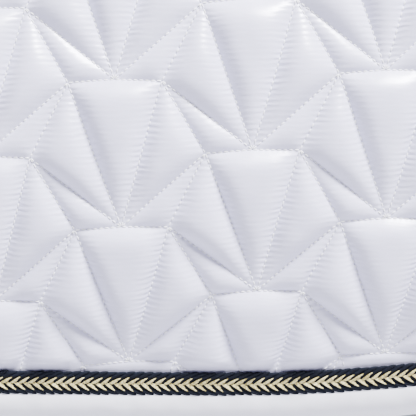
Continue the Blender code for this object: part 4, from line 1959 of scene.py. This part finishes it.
@dataclass
class Spine:
    """The taped seam between the flaps."""

    finishes: Finishes
    half_lengths: dict[Face, float] = field(
        default_factory=lambda: {Face.OUTER: 282.5 * MM, Face.INNER: 263.5 * MM}
    )
    thread_half_lengths: dict[Face, float] = field(
        default_factory=lambda: {Face.OUTER: 250 * MM, Face.INNER: 261 * MM}
    )
    half_width: float = 14.7 * MM
    under_w: float = 2.05 * MM
    thickness: float = 0.9 * MM
    unevenness: float = 0.12 * MM
    thread_from_middle: float = 12 * MM
    thread_lift: float = 0.1 * MM

    def _tape(self, name: str, face: Face) -> bpy.types.Object:
        """Lays one tape over the seam.

        Args:
            name: the piece's name.
            face: the face of the pad that it lies on.

        Returns:
            The piece.
        """
        left, right = Drape(Side.LEFT), Drape(Side.RIGHT)
        half_length = self.half_lengths[face]
        cells = (round(half_length / (1.6 * MM)), 18)
        piece = slab((2 * half_length, 2 * self.half_width, self.thickness), cells, 0.3 * MM)

        def place(flat: Array) -> Array:
            """Lays the flat tape's points over the spine."""
            v = right.middle_v + np.abs(flat[:, 1])
            uneven = self.unevenness * wander(flat[:, 0], flat[:, 1], 8.0, 60 * MM)
            w = (flat[:, 2] + self.under_w + uneven) * face.value
            on_left, on_right = (drape.place(flat[:, 0], v, w) for drape in (left, right))
            return np.where(flat[:, 1:2] < 0, on_left, on_right)

        return reshape(piece, name, place)

    def build(self) -> None:
        """Builds both tapes and the stitching along them."""
        rides, finishes = Hold("spine"), self.finishes
        outer = self._tape("spine_top_tape", Face.OUTER)
        inner = self._tape("spine_under_tape", Face.INNER)
        dress(outer, finishes.tape, rides, ["spine_tape_outer"])
        dress(inner, finishes.tape, rides, ["spine_tape_inner", "spine_seam_core"])
        height = self.under_w + self.thickness + self.thread_lift
        for side in Side:
            drape = Drape(side)
            v = drape.middle_v + self.thread_from_middle
            for face, label in ((Face.OUTER, "top"), (Face.INNER, "under")):
                half = self.thread_half_lengths[face]
                seam = Seam(((-half, v), (half, v)))
                thread = sew(f"spine_{label}_thread_{side.label}", drape, [seam], face.value * height, face)
                dress(thread, finishes.thread, rides, nodes=None)


# ---------------------------------------------------------------- camera and light


@dataclass(frozen=True)
class Camera:
    """A close view of the left flap's lower edge."""

    target: Triple = (37.6 * MM, 364.5 * MM, 4 * MM)
    azimuth: float = math.radians(-0.2)
    elevation: float = math.radians(16.2)
    roll: float = math.radians(-1.8)
    distance: float = 0.70
    lens: float = 119.2

    def build(self) -> None:
        """Places the scene's camera."""
        sin_a, cos_a = math.sin(self.azimuth), math.cos(self.azimuth)
        sin_e, cos_e = math.sin(self.elevation), math.cos(self.elevation)
        back = Vector((sin_a * cos_e, -cos_a * cos_e, sin_e))
        right = Vector((cos_a, sin_a, 0.0))
        up = back.cross(right)
        turned = right * math.cos(self.roll) + up * math.sin(self.roll)
        turned_up = up * math.cos(self.roll) - right * math.sin(self.roll)
        data = bpy.data.cameras.new("camera")
        data.lens = self.lens
        data.clip_start = 0.01
        camera = bpy.data.objects.new("camera", data)
        bpy.context.scene.collection.objects.link(camera)
        target = Vector(Drape(Side.LEFT).place(*self.target))
        matrix = Matrix((turned, turned_up, back)).transposed().to_4x4()
        matrix.translation = target + back * self.distance
        camera.matrix_world = matrix
        bpy.context.scene.camera = camera


@dataclass(frozen=True)
class Lamp:
    """A soft rectangular light."""

    name: str
    place: Triple
    aim: Triple
    size: Pair
    power: float
    colour: Triple = (1.0, 1.0, 1.0)

    def build(self) -> None:
        """Places the light."""
        data = bpy.data.lights.new(self.name, "AREA")
        data.shape = "RECTANGLE"
        data.size, data.size_y = self.size
        data.energy = self.power
        data.color = self.colour
        lamp = bpy.data.objects.new(self.name, data)
        lamp.location = self.place
        lamp.rotation_mode = "QUATERNION"
        lamp.rotation_quaternion = (Vector(self.aim) - Vector(self.place)).to_track_quat("-Z", "Y")
        bpy.context.scene.collection.objects.link(lamp)


@dataclass(frozen=True)
class Studio:
    """A plain pale floor and plain soft light."""

    floor_z: float = -0.472
    floor_size: float = 12.0
    sky: Triple = (0.74, 0.75, 0.95)
    sky_strength: float = 0.20
    lamps: tuple[Lamp, ...] = (
        Lamp("key", (1.33, -1.10, 2.58), (0.0, -0.2, -0.3), (0.99, 0.81), 700.0, (0.97, 0.97, 1.0)),
        Lamp("rear", (-0.6, 1.6, 1.2), (0.0, 0.1, -0.2), (1.4, 1.2), 45.0),
    )

    def build(self, finishes: Finishes) -> None:
        """Lays the floor and hangs the lights."""
        deselect()
        bpy.ops.mesh.primitive_plane_add(size=self.floor_size, location=(0, 0, 0))
        floor = bpy.context.object
        floor.name = "floor"
        floor.data.transform(Matrix.Translation((0, 0, self.floor_z)))
        floor.data.materials.append(finishes.floor)
        world = bpy.data.worlds.new("studio")
        world.use_nodes = True
        background = world.node_tree.nodes["Background"]
        background.inputs["Color"].default_value = (*self.sky, 1.0)
        background.inputs["Strength"].default_value = self.sky_strength
        bpy.context.scene.world = world
        for lamp in self.lamps:
            lamp.build()


def main() -> None:
    """Builds the pad, then the camera and the studio."""
    logging.basicConfig(level=logging.INFO, format="%(message)s")
    finishes = Finishes()
    for side in Side:
        flap = Flap(side, finishes)
        flap.build_cover()
        flap.build_lining()
        flap.build_trim()
        flap.build_keeper()
        flap.build_strap()
        if side is Side.LEFT:
            flap.build_label()
    Spine(finishes).build()
    Studio().build(finishes)
    Camera().build()


if __name__ == "__main__":
    main()
